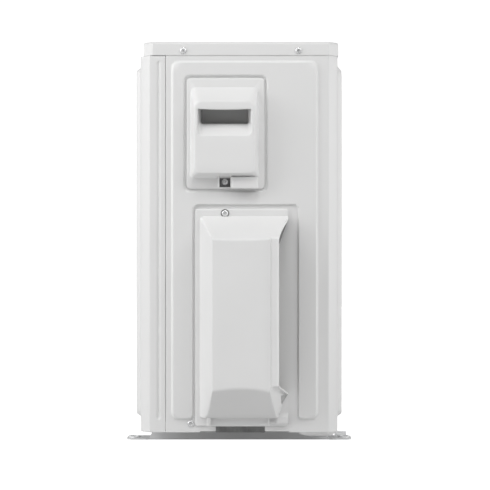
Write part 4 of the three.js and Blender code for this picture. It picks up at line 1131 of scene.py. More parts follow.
def corner_post():
    low, high = node_box("corner_post")
    c = CHAMFER
    corners = [(high[0], REAR_Y), (LEFT_X + c, REAR_Y), (LEFT_X, REAR_Y - c), (LEFT_X, low[1])]
    xs = [(0, LEFT_X + c + 4 + k * 3.5) for k in range(11)]
    ys = [(1, low[1] + 4 + k * 3.5) for k in range(11)]
    path = turned_in(fill_path(rounded_path(corners), xs + ys))
    rows = [(PANEL_LOW + z, inset) for z, inset in HEM]
    rows += [(z, 0) for z in lines(PANEL_LOW + 3, LID_TOP - 6, [80, 630], 3, 9, 14)]
    bead = (30.0, 44.0)

    def relief(x, y, z, n):
        """A long stiffening bead down each leaf."""
        along = 0
        if n.y > 0.9:
            along = x - LEFT_X
        elif n.x < -0.9:
            along = REAR_Y - y
        return -2.0 * smooth(inside(along, z, (*bead, 70, 640), 6.9) / 4)

    panel("corner_post_skin", sheet(path, rows, relief), "corner_post", (-1, 0, 0))


def net(name, node, axis, upright, level):
    """A coated wire net that fills a node's box: a thicker frame, uprights, and level wires behind them."""
    low, high = node_box(node)
    u = 1 - axis
    middle = (low[axis] + high[axis]) / 2
    shape = Shape()

    def wire(a, b, radius, deep):
        ends = []
        for along, z in (a, b):
            point = [0, 0, z]
            point[u], point[axis] = along, middle + deep
            ends.append(point)
        shape.tube(ends, radius, 8)

    edge, thin = 1.5, 0.8
    out = 0.7 if axis == 1 else -0.7
    across = spread(low[u] + edge, (high[u] - edge, upright))
    up = spread(low[2] + edge, (high[2] - edge, level))
    for along in (across[0], across[-1]):
        wire((along, low[2]), (along, high[2]), edge, 0)
    for z in (up[0], up[-1]):
        wire((low[u], z), (high[u], z), edge, 0)
    for along in across[1:-1]:
        wire((along, up[0]), (along, up[-1]), thin, out)
    for z in up[1:-1]:
        wire((across[0], z), (across[-1], z), thin, -out)
    piece(name, shape, WIRE, "grille_plastic", nodes=[node])


# ---- Air side ----------------------------------------------------------------------------------------


def radial(a):
    """The directions away from the fan's axis and round it at an angle."""
    return Vector((math.cos(a), 0, math.sin(a))), Vector((-math.sin(a), 0, math.cos(a)))


def flat_fins(shape, count, outline, half):
    """Adds flat fins round the fan's axis, from their (radius, y) outline and half their thickness."""
    for a in around(count):
        out, side = radial(a)
        shape.loft([[FAN_AXIS + out * r + side * w + Vector((0, y, 0)) for r, y in outline]
                    for w in (-half, half)])


def fan_grille():
    low, high = node_box("fan_grille")
    front, back, outer = low[1], high[1], (high[0] - low[0]) / 2
    inner = outer - 15

    def dome(r):
        return front + 1.9 + 3.4 * (r / inner) ** 2

    wires = Shape()
    for r in spread(55.0, (inner - 6, 20)):
        wires.hoop((FAN_AT[0], dome(r), FAN_AT[2]), r, 1.45)
    piece("grille_rings", wires, WIRE, "grille_plastic")

    ribs = Shape()
    spokes = 16
    for a in around(spokes):
        out, side = radial(a + math.pi / spokes)
        rows = []
        for i in range(15):
            r = mix(42, inner + 3, i / 14)
            wide, deep = mix(1.6, 1.2, i / 14), mix(5.0, 3.8, i / 14)
            near = dome(r) + 0.7
            far = near + deep
            section = [(-wide * 0.7, near), (wide * 0.7, near), (wide, near + 0.7), (wide, far - 0.7),
                       (0, far), (-wide, far - 0.7), (-wide, near + 0.7)]
            rows.append([FAN_AXIS + out * r + side * u + Vector((0, y, 0)) for u, y in section])
        ribs.loft(rows)
    piece("grille_ribs", ribs, WIRE, "grille_plastic")

    profile = [(inner, back)]
    profile += rise(front, (inner, 6.4), (inner + 1.2, 5.1), (inner + 3, 4.6), (inner + 8, 4.9),
                    (inner + 12, 6.6), (outer - 0.6, 9.2), (outer, 10.4))
    rim = Shape().ring(profile + [(outer, back)], "y", FAN_AXIS, 128)
    piece("grille_rim", rim, WIRE, "grille_plastic", nodes=["fan_grille"])
    profile = rise(front, (0, 1.2), (30, 1.1), (32.5, 0.5), (35, 0.2), (41, 0.4), (44.6, 1.6), (46, 3.6),
                   (46, 6.8), (44, 7.2), (43, 4), (0, 3.6))
    piece("grille_hub", Shape().turned(profile, "y", FAN_AXIS, 72), WIRE, "grille_plastic")


def fan_shroud():
    low, high = node_box("fan_shroud")
    outer = (high[0] - low[0]) / 2
    front, rear, r = low[1], high[1], outer - 20
    curve = [(r + 9 * (1 - math.sin(a)), front + 1 + 9 * (1 - math.cos(a)))
             for a in spread(0.25, (math.pi / 2, 7))]
    profile = [(outer, front), (outer - 1, front)] + curve
    profile += [(r, front + 30), (r - 0.5, rear - 8), (r + 1.5, rear - 2), (r + 1.8, rear)]
    back = [(a + 1.6, y + (1.6 if a > r + 4 else 0)) for a, y in profile[1:][::-1]]
    shape = Shape().ring(profile + back[:-1] + [(outer, front + 2)], "y", FAN_AXIS, 128)
    piece("shroud", shape, SHROUD, "grille_plastic", nodes=["fan_shroud"])


FAN = {"front": -150.0, "rear": -64.0, "hub": 46.0, "tip": 230.0, "blades": 3}


def blade_point(index, out, chord):
    """A point on a blade's mean surface: out runs from hub to tip and chord from the leading to the
    trailing edge."""
    inner = FAN["hub"] - 4
    r = inner + out * (FAN["tip"] - inner)
    narrow = 1 - 0.22 * smooth((out - 0.72) / 0.28) * (abs(2 * chord - 1) ** 1.5)
    hollow = 0.10 * math.sin(math.pi * min(out * 1.1, 1))
    across = (chord - 0.5) * narrow
    width = across * (1.35 - 0.1 * out) + hollow * smooth(1 - chord * 3)
    angle = 2 * math.pi * index / FAN["blades"] + 0.25 * out * out + width
    along = (chord - 0.12 * math.sin(math.pi * chord)) * (1 - 0.15 * out)
    y = FAN["front"] + 4.6 + (FAN["rear"] - FAN["front"] - 9) * along
    return Vector((FAN_AT[0] + r * math.cos(angle), y, FAN_AT[2] + r * math.sin(angle)))


def blade_normal(index, out, chord):
    """The direction square to a blade's mean surface."""
    step = 0.01
    du = blade_point(index, min(out + step, 1), chord) - blade_point(index, max(out - step, 0), chord)
    dv = blade_point(index, out, min(chord + step, 1)) - blade_point(index, out, max(chord - step, 0))
    return du.cross(dv).normalized()


def fan_blades():
    rear, hub = FAN["rear"], FAN["hub"]
    front = FAN["front"] + 3
    profile = rise(front, (0, 1.2), (13, 1.2), (15, 0), (18, 0.3), (hub - 12, 1), (hub - 5, 3),
                   (hub - 1, 7), (hub, 12))
    profile += rise(rear, (hub, -0.6), (hub - 0.6, 0), (hub - 2.4, 0), (hub - 3, -0.6))
    profile += rise(front, (hub - 3, 14), (hub - 8, 7), (14, 5), (13, 40), (7, 40), (6.4, 30), (0, 30))
    shape = Shape().turned(profile, "y", FAN_AXIS, 72)
    flat_fins(shape, 8, [(12, front + 5), (hub - 2, front + 9), (hub - 2, rear - 12), (12, front + 34)], 1)
    for index in range(FAN["blades"]):
        rows = []
        for i in range(25):
            out = i / 24
            upper, lower = [], []
            for j in range(31):
                chord = (1 - math.cos(math.pi * j / 30)) / 2
                round_edge = math.sqrt(max(4 * chord * (1 - chord), 0))
                half = 0.35 + (1.9 - 0.8 * out) * round_edge * (1.25 - 0.5 * chord)
                half *= 1 - 0.75 * smooth((out - 0.965) / 0.035)
                point, normal = blade_point(index, out, chord), blade_normal(index, out, chord)
                upper.append(point + normal * half)
                lower.append(point - normal * half)
            rows.append(upper + lower[::-1])
        shape.loft(rows)
    piece("fan", shape, FAN_PLASTIC, "fan_plastic", "fan", ["fan_blades"], crease=38)


def fan_nut():
    low, high = node_box("fan_nut")
    front, back = low[1], high[1]
    shape = Shape().turned([(9.4, front + 1.2), (11, front + 2.4), (11, back - 2.2), (0, back - 2.2)], "y",
                           FAN_AXIS, 6)
    shape.turned(rise(front, (0, 0), (4.5, 0.15), (8, 0.7), (9.2, 1.8), (0, 1.8)), "y", FAN_AXIS, 36)
    washer = rise(back, (10, -2.6), (11, -2), (11, -0.4), (10.6, 0), (6.4, 0), (6.4, -2.6))
    shape.turned(washer, "y", FAN_AXIS, 36)
    piece("fan_nut_cap", shape, BLACK, "black_plastic", "fan", ["fan_nut"])


def fan_motor():
    low, high = node_box("fan_motor")
    front, rear = low[1], high[1]
    profile = rise(front, (0, 0), (15, 0), (16, 0.8), (16, 5), (40, 5), (44, 5.6), (49, 8.6), (51.2, 13))
    profile += rise(rear, (51.2, -12), (49, -5), (42, -0.6), (38, 0), (20, 0), (18, -1), (0, -1))
    shape = Shape().turned(profile, "y", FAN_AXIS, 72)
    fin = rise(front, (24, 4.6), (42, 4), (50, 10), (52, 15)) + [(52, -6), (46, -6), (24, front + 7)]
    flat_fins(shape, 24, fin, 0.8)
    piece("motor_can", shape, CAST, "galvanised", nodes=["fan_motor"])
    plate = Shape().rounded_box((low[0], 0.0, low[2]), (high[0], 3.0, high[2]), "y", 12)
    piece("motor_plate", plate, GALVANISED, "galvanised")
    bolts = Shape()
    for dx in (-72, 72):
        for dz in (-38, 38):
            at = FAN_AXIS + Vector((dx, 0, dz))
            bolts.turned([(0, -5.0), (3.6, -5.0), (4.4, -4.2), (4.4, -1.4), (0, -1.4)], "y", at, 6)
            bolts.turned([(0, -1.5), (6.2, -1.5), (6.6, -1.1), (6.6, -0.05), (0, -0.05)], "y", at, 28)
    piece("motor_bolts", bolts, ZINC, "screw_steel")


COIL = {"thick": 36.0, "bend": 70.0, "low": 46.0, "high": 668.0, "left": -440.0, "rear": 160.0,
        "front": -112.0, "end": 118.0}


def coil_path(depth, step):
    """Points and directions along the coil in plan, `depth` inside its outer face, from front to right
    end."""
    left, front, rear, bend = [COIL[key] for key in ("left", "front", "rear", "bend")]
    centre = Vector((left + bend, rear - bend))
    out = []
    for k in range(int((centre.y - front) / step) + 1):
        out.append((Vector((left + depth, front + k * step)), Vector((0, 1))))
    turns = max(int((math.pi / 2) * (bend - COIL["thick"] / 2) / step), 6)
    for k in range(1, turns):
        a = math.pi - math.pi / 2 * k / turns
        out.append((centre + Vector((math.cos(a), math.sin(a))) * (bend - depth),
                    Vector((math.sin(a), -math.cos(a)))))
    for k in range(int((COIL["end"] - centre.x) / step) + 1):
        out.append((Vector((centre.x + k * step, rear - depth)), Vector((1, 0))))
    return out


TUBE_ROWS = 24
TUBE_PITCH = (COIL["high"] - COIL["low"]) / TUBE_ROWS
TUBE_DEPTHS = (9.0, 27.0)
TUBE_RADIUS = 3.6


def coil():
    fins = Shape()
    thin, skin = 0.16, 0.6
    low, high = COIL["low"] + 0.5, COIL["high"] - 0.5
    for (p, along), (q, _) in zip(coil_path(COIL["thick"] - skin, 2.0), coil_path(skin, 2.0)):
        wobble = random.uniform(-0.18, 0.18)
        rows = []
        for side in (-thin, thin):
            a, b = [end + along * (side + wobble) for end in (p, q)]
            rows.append([(a.x, a.y, low), (b.x, b.y, low), (b.x, b.y, high), (a.x, a.y, high)])
        fins.loft(rows)
    piece("coil_fins", fins, ALUMINIUM, "fin_aluminium", nodes=["coil"])

    tubes = Shape()
    left, right = COIL["front"] - 6, COIL["end"] + 5
    for depth in TUBE_DEPTHS:
        path = [p for p, _ in coil_path(depth, 24.0)]
        path = [Vector((path[0].x, left))] + path[1:] + [Vector((right, path[-1].y))]
        for k in range(TUBE_ROWS):
            z = COIL["low"] + TUBE_PITCH * (k + 0.5)
            tubes.tube([(p.x, p.y, z) for p in path], TUBE_RADIUS, 8, caps=False)
    half = TUBE_PITCH / 2
    for i, depth in enumerate(TUBE_DEPTHS):
        for k in range(TUBE_ROWS - 1):
            middle = COIL["low"] + TUBE_PITCH * (k + 1)
            at_right = (k + i) % 2 == 0
            bend = []
            for a in spread(0.0, (math.pi, 8)):
                out, z = half * math.sin(a), middle - half * math.cos(a)
                if at_right:
                    bend.append((right + out, COIL["rear"] - depth, z))
                else:
                    bend.append((COIL["left"] + depth, left - out, z))
            tubes.tube(bend, TUBE_RADIUS, 10, caps=False)
    piece("coil_tubes", tubes, COPPER, "copper")


def dress(node, material, bevel=0.35):
    """Keeps a CAD node, with its material and its edges softened."""
    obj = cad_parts[node]
    coat(obj, material)
    soften(obj, bevel)


# ---- Electrical parts --------------------------------------------------------------------------------


def reactor():
    """A laminated iron core on its foot, with one winding round it."""
    low, high = node_box("reactor")
    core = Shape()
    plates = 26
    y0, y1 = low[1] + 8, high[1] - 8
    for k in range(plates):
        y = mix(y0, y1, k / plates)
        proud = 0.25 * (k % 2)
        core.box(low[0] + 2 - proud, high[0] - 2 + proud, y, y + (y1 - y0) / plates * 0.92,
                 low[2] + 1.5, high[2] - 2 + proud)
    core.box(low[0], high[0], low[1], high[1], low[2], low[2] + 1.5)
    piece("reactor_core", core, IRON, "screw_steel", nodes=["reactor"])
    winding = Shape()
    loop = round_outline((low[0] + 6, high[0] - 6, low[1] + 4, high[1] - 4), 7, 4)
    for z in spread(low[2] + 8, (high[2] - 8, 8)):
        winding.tube([(x, y, z) for x, y in loop], 2.0, 8, closed=True)
    piece("reactor_winding", winding, ENAMEL, "copper")


def control_board():
    """The circuit board and what stands on it: capacitors, relays, a rectifier, chips and connectors."""
    low, high = node_box("control_board")
    dress("control_board", BOARD, 0.2)
    right, top = high[0], high[2]
    cans, blocks, metals = Shape(), Shape(), Shape()
    for x, y, r, tall in ((110, -100, 15, 42), (146, -100, 15, 42), (110, -60, 11, 30), (240, 50, 8, 20),
                          (262, 50, 8, 20)):
        profile = rise(top, (r - 1, 0), (r, 1.2), (r, 3), (r - 0.8, 4), (r, 5), (r, tall - 2),
                       (r - 1.6, tall), (r - 3, tall - 0.6), (0, tall - 0.6))
        cans.turned(profile, "z", (x, y, 0), 36)
    for x in range(190, 286, 24):
        blocks.rounded_box((x, -118, top), (x + 19, -92, top + 17), "z", 1.5)
    for x, y, w, d in ((180, -40, 34, 34), (230, -30, 18, 12), (160, 20, 26, 14), (120, 40, 14, 20)):
        blocks.rounded_box((x, y, top), (x + w, y + d, top + 2.6), "z", 1)
        for u in spread(x + 1, (x + w - 1, int(w / 2) - 1)):
            for v in (y - 1.6, y + d + 0.1):
                metals.box(u - 0.3, u + 0.3, v, v + 1.5, top + 0.1, top + 0.7)
    for y in range(-20, 76, 16):
        blocks.rounded_box((right - 12, y, top), (right - 2, y + 12, top + 9), "z", 1)
        for i in range(4):
            pin = y + 1.8 + i * 2.6
            metals.box(right - 8, right - 7, pin, pin + 0.8, top + 8, top + 11)
    for _ in range(46):
        x, y = random.uniform(low[0] + 8, right - 20), random.uniform(low[1] + 8, high[1] - 8)
        w, d = random.choice([(2.0, 1.2), (3.2, 1.6), (1.2, 2.0), (4.5, 3.2)])
        blocks.box(x, x + w, y, y + d, top, top + 1.1)
    piece("board_capacitors", cans, SLEEVE, "black_plastic")
    piece("board_parts", blocks, BLACK, "black_plastic")
    piece("board_pins", metals, ZINC, "screw_steel")


def terminal_block():
    """Barriers, a step between them, and a clamping screw with its square washer at each of the ten
    places."""
    low, high = node_box("terminal_block")
    x, y0, y1, z0, z1 = low[0], low[1], high[1], low[2], high[2]
    walls, pitch, wall = 6, 17.2, 2
    base = Shape().rounded_box((x, y0, z0), (x + 6.5, y1, z1), "x", 1.2)
    base.box(x + 6, x + 9, y0 + 1, y1 - 1, z0 + 15.5, z1 - 15.5)
    for k in range(walls):
        y = y0 + k * pitch
        base.rounded_box((x + 5, y, z0), (high[0], y + wall, z1), "y", 2.5, 0.3)
    piece("terminal_body", base, BLACK, "black_plastic", nodes=["terminal_block"])
    screws, washers = Shape(), Shape()
    for k in range(walls - 1):
        y = y0 + k * pitch + (pitch + wall) / 2
        for z in (z0 + 7.6, z1 - 7.6):
            washers.box(x + 6.4, x + 7.4, y - 4.6, y + 4.6, z - 5, z + 5)
            screws.join(pan_head(x + 7.2, y, z, 3.6, 2.2, 40))
    piece("terminal_washers", washers, BRASS, "brass", bevel=0.25)
    piece("terminal_screws", screws, ZINC, "screw_steel", crease=40)


def cable_clamp():
    low, high = node_box("cable_clamp")
    x, y0, y1, z0, z1 = low[0], low[1], high[1], low[2], high[2]
    half = [(1.2, 0), (1.2, 7), (3, 9), (9.5, 9.5), (12.4, 12), (12.6, 17)]
    path = [(x + h, y0 + v) for h, v in half] + [(x + h, y1 - v) for h, v in half[::-1]]
    rows = []
    for z, thin in ((z0, 0.8), (z0 + 0.8, 1.2), (z1 - 0.8, 1.2), (z1, 0.8)):
        outer = [(px + thin, py, z) for px, py in path]
        inner = []
        for i, (px, py) in enumerate(path):
            aside = (0.9 if i < 6 else -0.9) if 2 < i < 9 else 0
            inner.append((px - thin, py + aside, z))
        rows.append(outer + inner[::-1])
    piece("cable_saddle", Shape().loft(rows), BLACK, "black_plastic", nodes=["cable_clamp"])
    screws = Shape()
    for y in (y0 + 3.6, y1 - 3.6):
        screws.join(pan_head(x + 2.3, y, (z0 + z1) / 2, 3.2, 2.0, 36))
    piece("cable_saddle_screws", screws, ZINC, "screw_steel", crease=40)


# ---- Refrigerant circuit -----------------------------------------------------------------------------


def curve_through(points, per_span=8):
    """A smooth curve through points, as a centripetal spline with reflected ends."""
    p = [Vector(q) for q in points]
    p = [2 * p[0] - p[1]] + p + [2 * p[-1] - p[-2]]
    out = []
    for i in range(1, len(p) - 2):
        a, b, c, d = p[i - 1:i + 3]
        t = [0.0]
        for u, v in ((a, b), (b, c), (c, d)):
            t.append(t[-1] + max((v - u).length, 1e-6) ** 0.5)
        for k in range(per_span):
            x = mix(t[1], t[2], k / per_span)

            def at(u, v, tu, tv):
                return u * ((tv - x) / (tv - tu)) + v * ((x - tu) / (tv - tu))

            ab, bc, cd = at(a, b, t[0], t[1]), at(b, c, t[1], t[2]), at(c, d, t[2], t[3])
            out.append(at(at(ab, bc, t[0], t[2]), at(bc, cd, t[1], t[3]), t[1], t[2]))
    return out + [p[-2]]


def pipe(name, node, radius, *route):
    """A copper pipe along its route, with a brazed swelling at each end."""
    path = curve_through(route)
    shape = Shape().tube(path, radius, 20)
    for end, ahead in ((path[0], path[1]), (path[-1], path[-2])):
        along = (ahead - end).normalized()
        side = along.orthogonal().normalized()
        other = along.cross(side)
        rows = []
        for far, wide in ((0, 0.6), (0.6, 1.0), (5.0, 1.0), (6.2, 0.0)):
            rows.append([end + along * far + (side * math.cos(a) + other * math.sin(a)) * (radius + wide)
                         for a in around(20)])
        shape.loft(rows)
    piece(name, shape, COPPER, "copper", nodes=[node])


REVERSER = (250.0, 20.0, 440.0)
COMPRESSOR = {"x": 226.0, "y": -36.0, "r": 60.0, "low": 56.0, "high": 330.0}
VALVE_Y = -8.0


def pipes():
    x, y, z = REVERSER
    cx, cy, top = COMPRESSOR["x"] + 10, COMPRESSOR["y"], COMPRESSOR["high"]
    plate = node_box("gas_valve")[0][0] - 0.3
    gas_z, liquid_z = [node_middle(node)[2] for node in ("gas_stem", "liquid_stem")]
    pipe("discharge_line", "discharge_pipe", 5, (cx, cy, top + 0.6), (cx, cy, top + 130),
         (cx + 6, cy + 28, top + 160), (x, y, z + 46), (x, y, z + 24.5))
    pipe("suction_line", "suction_pipe", 7, (x, y, z - 28.5), (x, y, z - 40), (x + 4, y, z - 60),
         (288, -30, 345), (322, -72, 318), (322, -72, 265.5))
    pipe("coil_line", "coil_pipe", 6, (x, y + 26, z - 28.5), (x, y + 28, z - 60), (205, 108, 352),
         (150, 142, 350), (120.1, 142, 350))
    pipe("gas_line", "gas_pipe", 8, (x, y - 26, z - 28.5), (x, y - 26, z - 38), (x + 6, y - 27, z - 54),
         (310, -2, 374), (337, 0, 330), (340, -4, 196), (356, VALVE_Y, gas_z), (plate, VALVE_Y, gas_z))
    pipe("liquid_line", "liquid_pipe", 4, (plate, VALVE_Y, liquid_z), (364, VALVE_Y, liquid_z),
         (357, 22, 300), (326, 50, 314), (296, 48, 314), (296, 65.5, 314))


def service_valve(kind):
    low, high = node_box(kind + "_valve")
    seat, tip = low[0], high[1] - VALVE_Y
    z = (low[2] + high[2]) / 2
    r = (high[2] - low[2]) / 2
    at = (0, VALVE_Y, z)
    wing = r + 9
    body = Shape().rounded_box((seat, VALVE_Y - wing, z - r), (seat + 3.5, VALVE_Y + wing, z + r), "x", 3.5)
    profile = rise(seat, (0, 3), (r * 0.94, 3), (r, 5), (r, 26.5), (r * 0.96, 28), (r * 0.7, 29),
                   (r * 0.58, 29))
    profile += threaded(seat + 29.5, seat + 39.5, r * 0.66)
    profile += rise(seat, (r * 0.5, 40), (r * 0.42, 40), (r * 0.4, 39), (r * 0.4, 23), (0, 23))
    body.turned(profile, "x", at, 48)
    profile = [(0, 0), (r * 0.86, 0), (r * 0.86, r + 4), (r * 0.7, r + 5.5)]
    profile += threaded(r + 6, tip - 2.6, r * 0.78)
    profile += rise(tip, (r * 0.62, -1.6), (r * 0.46, 0), (r * 0.36, 0), (r * 0.36, -8), (0, -8))
    body.turned(profile, "y", (seat + 15, VALVE_Y, z), 48)
    piece(kind + "_valve_body", body, BRASS, "brass", nodes=[kind + "_valve"], crease=28)
    bolts = Shape()
    profile = rise(seat, (0, 6.6), (2.9, 6.6), (3.5, 6.0), (3.5, 3.6), (0, 3.6))
    for side in (-1, 1):
        bolts.turned(profile, "x", (0, VALVE_Y + side * (r + 4.6), z), 6)
    piece(kind + "_valve_bolts", bolts, ZINC, "screw_steel")

    (back, *_), (tip, *_) = node_box(kind + "_stem")
    key = r * 0.2
    profile = [(0.3, back), (r * 0.36, back + 0.6)]
    profile += rise(tip, (r * 0.36, -0.5), (r * 0.33, 0), (key + 0.3, 0, 1), (key, -0.4, 1), (key, -6, 1),
                    (0.1, -6.4, 1))
    stem = Shape().turned(profile, "x", at, 36)
    piece(kind + "_spindle", stem, ZINC, "screw_steel", kind + "_stem", [kind + "_stem"])

    (back, *_), (tip, *_) = node_box(kind + "_cap")
    nut, bore = r * 0.98, r * 0.72
    profile = rise(back, (bore, 10.8), (bore, 0.8), (bore + 0.8, 0), (nut * 0.84, 0), (nut, 1.5, 1))
    profile += rise(tip, (nut, -4.5, 1), (nut * 0.84, -3.2), (nut * 0.80, -1.4), (nut * 0.66, -0.3),
                    (nut * 0.4, 0))
    cap = Shape().turned(profile, "x", at, 36)
    piece(kind + "_cap_nut", cap, BRASS, "brass", kind + "_cap", [kind + "_cap"], crease=28)

    (_, near, _), (_, far, _) = node_box(kind + "_flare_cap")
    profile = rise(near, (r * 0.86, 0), (r, 1.6, 1))
    profile += rise(far, (r, -5.4, 1), (r * 0.86, -4.0), (r * 0.66, -3.6), (r * 0.64, -0.8), (r * 0.56, 0))
    flare = Shape().turned(profile, "y", (seat + 15, 0, z), 36)
    piece(kind + "_flare_nut", flare, BRASS, "brass", kind + "_flare_cap", [kind + "_flare_cap"], crease=28)


def compressor():
    x, y, r, low, high = [COMPRESSOR[key] for key in ("x", "y", "r", "low", "high")]
    profile = [(r * math.sin(a), low + 11 - 14 * math.cos(a)) for a in quarter(10)] + [(r, low + 30)]
    profile += rise(high, (r + 0.1, -60), (r + 0.9, -58), (r + 0.9, -55), (r + 0.1, -53), (r, -28), (r, -22))
    profile += [(r * math.cos(a), high - 20 + 20 * math.sin(a)) for a in spread(0.12, (math.pi / 2, 12))]
    shell = Shape().turned(profile, "z", (x, y, 0), 72)
    shell.turned(rise(high, (0, -4), (9, -4), (8, -0.5), (7, 0), (0, 0)), "z", (x + 10, y, 0), 24)
    piece("compressor_shell", shell, BLACK_PAINT, "black_paint", nodes=["compressor"])

    ears = [(x + 84 * math.cos(a), y + 84 * math.sin(a), a) for a in around(3)]
    outline = []
    for ex, ey, a in ears:
        for t in spread(a - math.pi / 3, (a + math.pi / 3, 12)):
            outline.append(Vector((ex + 15 * math.cos(t), ey + 15 * math.sin(t))))
    centre = Vector((x, y))
    rows = []
    for by, z in rise(low, (0.7, -6), (0, -5.3), (0, -3.6), (0.7, -2.9)):
        rows.append([(*(p - (p - centre).normalized() * by), z) for p in outline])
    holes = [Shape().turned([(5, 40), (5, 60)], "z", (ex, ey, 0), 24) for ex, ey, _ in ears]
    piece("compressor_foot", Shape().loft(rows), BLACK_PAINT, "black_paint", cuts=holes)
    rubbers, bolts = Shape(), Shape()
    rubber = [(6, 26), (12, 26), (13, 27), (13, 31), (11, 33), (11, 36), (13, 38), (13, 42), (11, 44),
              (11, 47.6), (12.5, 49.2), (6, 49.2)]
    bolt = (([(0, 26), (3.5, 26), (3.5, 54), (0, 54)], 20),
            ([(0, 53.2), (9, 53.2), (9, 54.4), (0, 54.4)], 32),
            ([(0, 54.4), (5.4, 54.4), (6, 55), (6, 58.6), (5.4, 59.2), (0, 59.2)], 6))
    for ex, ey, _ in ears:
        rubbers.ring(rubber, "z", (ex, ey, 0), 36)
        for profile, sides in bolt:
            bolts.turned(profile, "z", (ex, ey, 0), sides)
    piece("compressor_grommets", rubbers, RUBBER, "rubber", nodes=["grommet_1", "grommet_2", "grommet_3"])
    piece("compressor_bolts", bolts, ZINC, "screw_steel")
    low, high = node_box("compressor_cap")
    cap = Shape().rounded_box(low, (high[0], high[1], high[2] - 4), "z", 6, 1.6)
    cap.turned(rise(high[2], (0, 0), (4.4, 0), (5, -0.6), (5, -4.2), (0, -4.2)), "z",
               ((low[0] + high[0]) / 2, (low[1] + high[1]) / 2, 0), 6)
    piece("compressor_terminal_cap", cap, BLACK, "black_plastic", nodes=["compressor_cap"])


def accumulator():
    low, high = node_box("accumulator")
    x, y, r = (low[0] + high[0]) / 2, (low[1] + high[1]) / 2, (high[1] - low[1]) / 2
    bottom, top = low[2], high[2]
    profile = [(r * math.sin(a), bottom + 14 - 14 * math.cos(a)) for a in quarter(9)] + [(r, bottom + 60)]
    profile += rise(top, (r, -62), (r - 0.7, -60), (r - 0.7, -56), (r, -54))
    profile += [(9 + (r - 9) * math.cos(a), top - 18 + 15 * math.sin(a)) for a in quarter(9)]
    profile += rise(top, (9, -1), (8, 0), (0, 0))
    shape = Shape().turned(profile, "z", (x, y, 0), 56)
    piece("accumulator_shell", shape, BLACK_PAINT, "black_paint", nodes=["accumulator"])


def reversing_valve():
    x, y, z = REVERSER
    r, half = 13.0, 52.0
    profile = rise(-half, (0, 0), (r - 4, 0), (r - 1.4, 1), (r, 4), (r, 9), (r - 0.8, 10))
    body = Shape().turned(profile + [(size, -h) for size, h in profile[::-1]], "y", REVERSER, 48)
    body.turned([(0, 0), (6.8, 0), (6.8, 17), (6, 18), (6, 24), (0, 24)], "z", REVERSER, 32)
    for dy in (-26, 0, 26):
        body.turned([(0, -28), (8, -28), (8, -18), (9, -16.5), (9, -8), (0, -8)], "z", (x, y + dy, z), 32)
    piece("reversing_valve_body", body, BRASS, "brass", nodes=["reversing_valve"])
    pilot = Shape()
    for dy in (-44, 44):
        route = [(x + 9, y + dy, z + 6), (x + 16, y + dy, z + 13)]
        route += [(x + 22, y + dy * 0.6, z + 17), (x + 24, y + dy * 0.2, z + 18)]
        pilot.tube(curve_through(route, 6), 1.4, 8)
    piece("pilot_tubes", pilot, COPPER, "copper")
    (x0, y0, z0), (x1, y1, z1) = node_box("reversing_coil")
    solenoid = Shape().rounded_box((x0 + 1.5, y0 + 2, z0 + 1), (x1 - 1.5, y1 - 2, z1 - 1), "x", 9, 1.4)
    piece("reversing_solenoid", solenoid, BLACK, "black_plastic", nodes=["reversing_coil"])
    yoke = Shape()
    for u0, u1, top in ((x0, x0 + 1.5, z1), (x1 - 1.5, x1, z1), (x0, x1, z0 + 1.5)):
        yoke.box(u0, u1, y0 + 4, y1 - 4, z0, top)
    piece("solenoid_yoke", yoke, GALVANISED, "galvanised", bevel=0.3)

    low, high = node_box("expansion_valve")
    x, y, bottom = (low[0] + high[0]) / 2, high[1] - (high[0] - low[0]) / 2, low[2]
    body = Shape().turned(rise(bottom, (0, 0), (5, 0), (6, 2), (6, 6), (9, 8), (9, 24), (7.4, 26),
                               (7.4, 32), (9, 34), (9, 40), (0, 40)), "z", (x, y, 0), 40)
    inlet = low[1] - y
    body.turned([(0, inlet), (5, inlet), (5, -12), (5.8, -11), (5.8, 0), (0, 0)], "y", (x, y, bottom + 14),
                28)
    piece("expansion_valve_body", body, BRASS, "brass", nodes=["expansion_valve"])
    low, high = node_box("expansion_coil")
    r = (high[0] - low[0]) / 2
    profile = rise(low[2], (0, 0), (r - 1.5, 0), (r, 1.5))
    profile += rise(high[2], (r, -8), (r - 1, -5), (r - 4, -3.4), (8, -3), (7, -1), (5, 0), (0, 0))
    can = Shape().turned(profile, "z", (x, y, 0), 48)
    piece("expansion_coil_can", can, BLACK, "black_plastic", nodes=["expansion_coil"])


def kept_nodes():
    """Sheet-metal parts whose CAD shape is already right."""
    for node in ("motor_bracket", "coil_plate_left", "coil_plate_right", "partition", "control_box",
                 "terminal_plate", "valve_plate"):
        dress(node, GALVANISED)
    dress("heat_sink", ALUMINIUM, 0.4)
    dress("motor_shaft", ZINC, 0.5)


# ---- Stage -------------------------------------------------------------------------------------------


LIT = Vector((0.39, 0, 0.35))  # what the lights point at, in metres


def shown_to_camera(tree, usual, seen, output, share=1.0):
    """Lets the camera see one shader, or a share of it, where everything else meets the usual one."""
    path = tree.nodes.new("ShaderNodeLightPath")
    part = tree.nodes.new("ShaderNodeMath")
    part.operation = "MULTIPLY"
    part.inputs[1].default_value = share
    either = tree.nodes.new("ShaderNodeMixShader")
    tree.links.new(path.outputs["Is Camera Ray"], part.inputs[0])
    for source, socket in zip((part, usual, seen), either.inputs):
        tree.links.new(source.outputs[0], socket)
    tree.links.new(either.outputs[0], tree.nodes[output].inputs["Surface"])


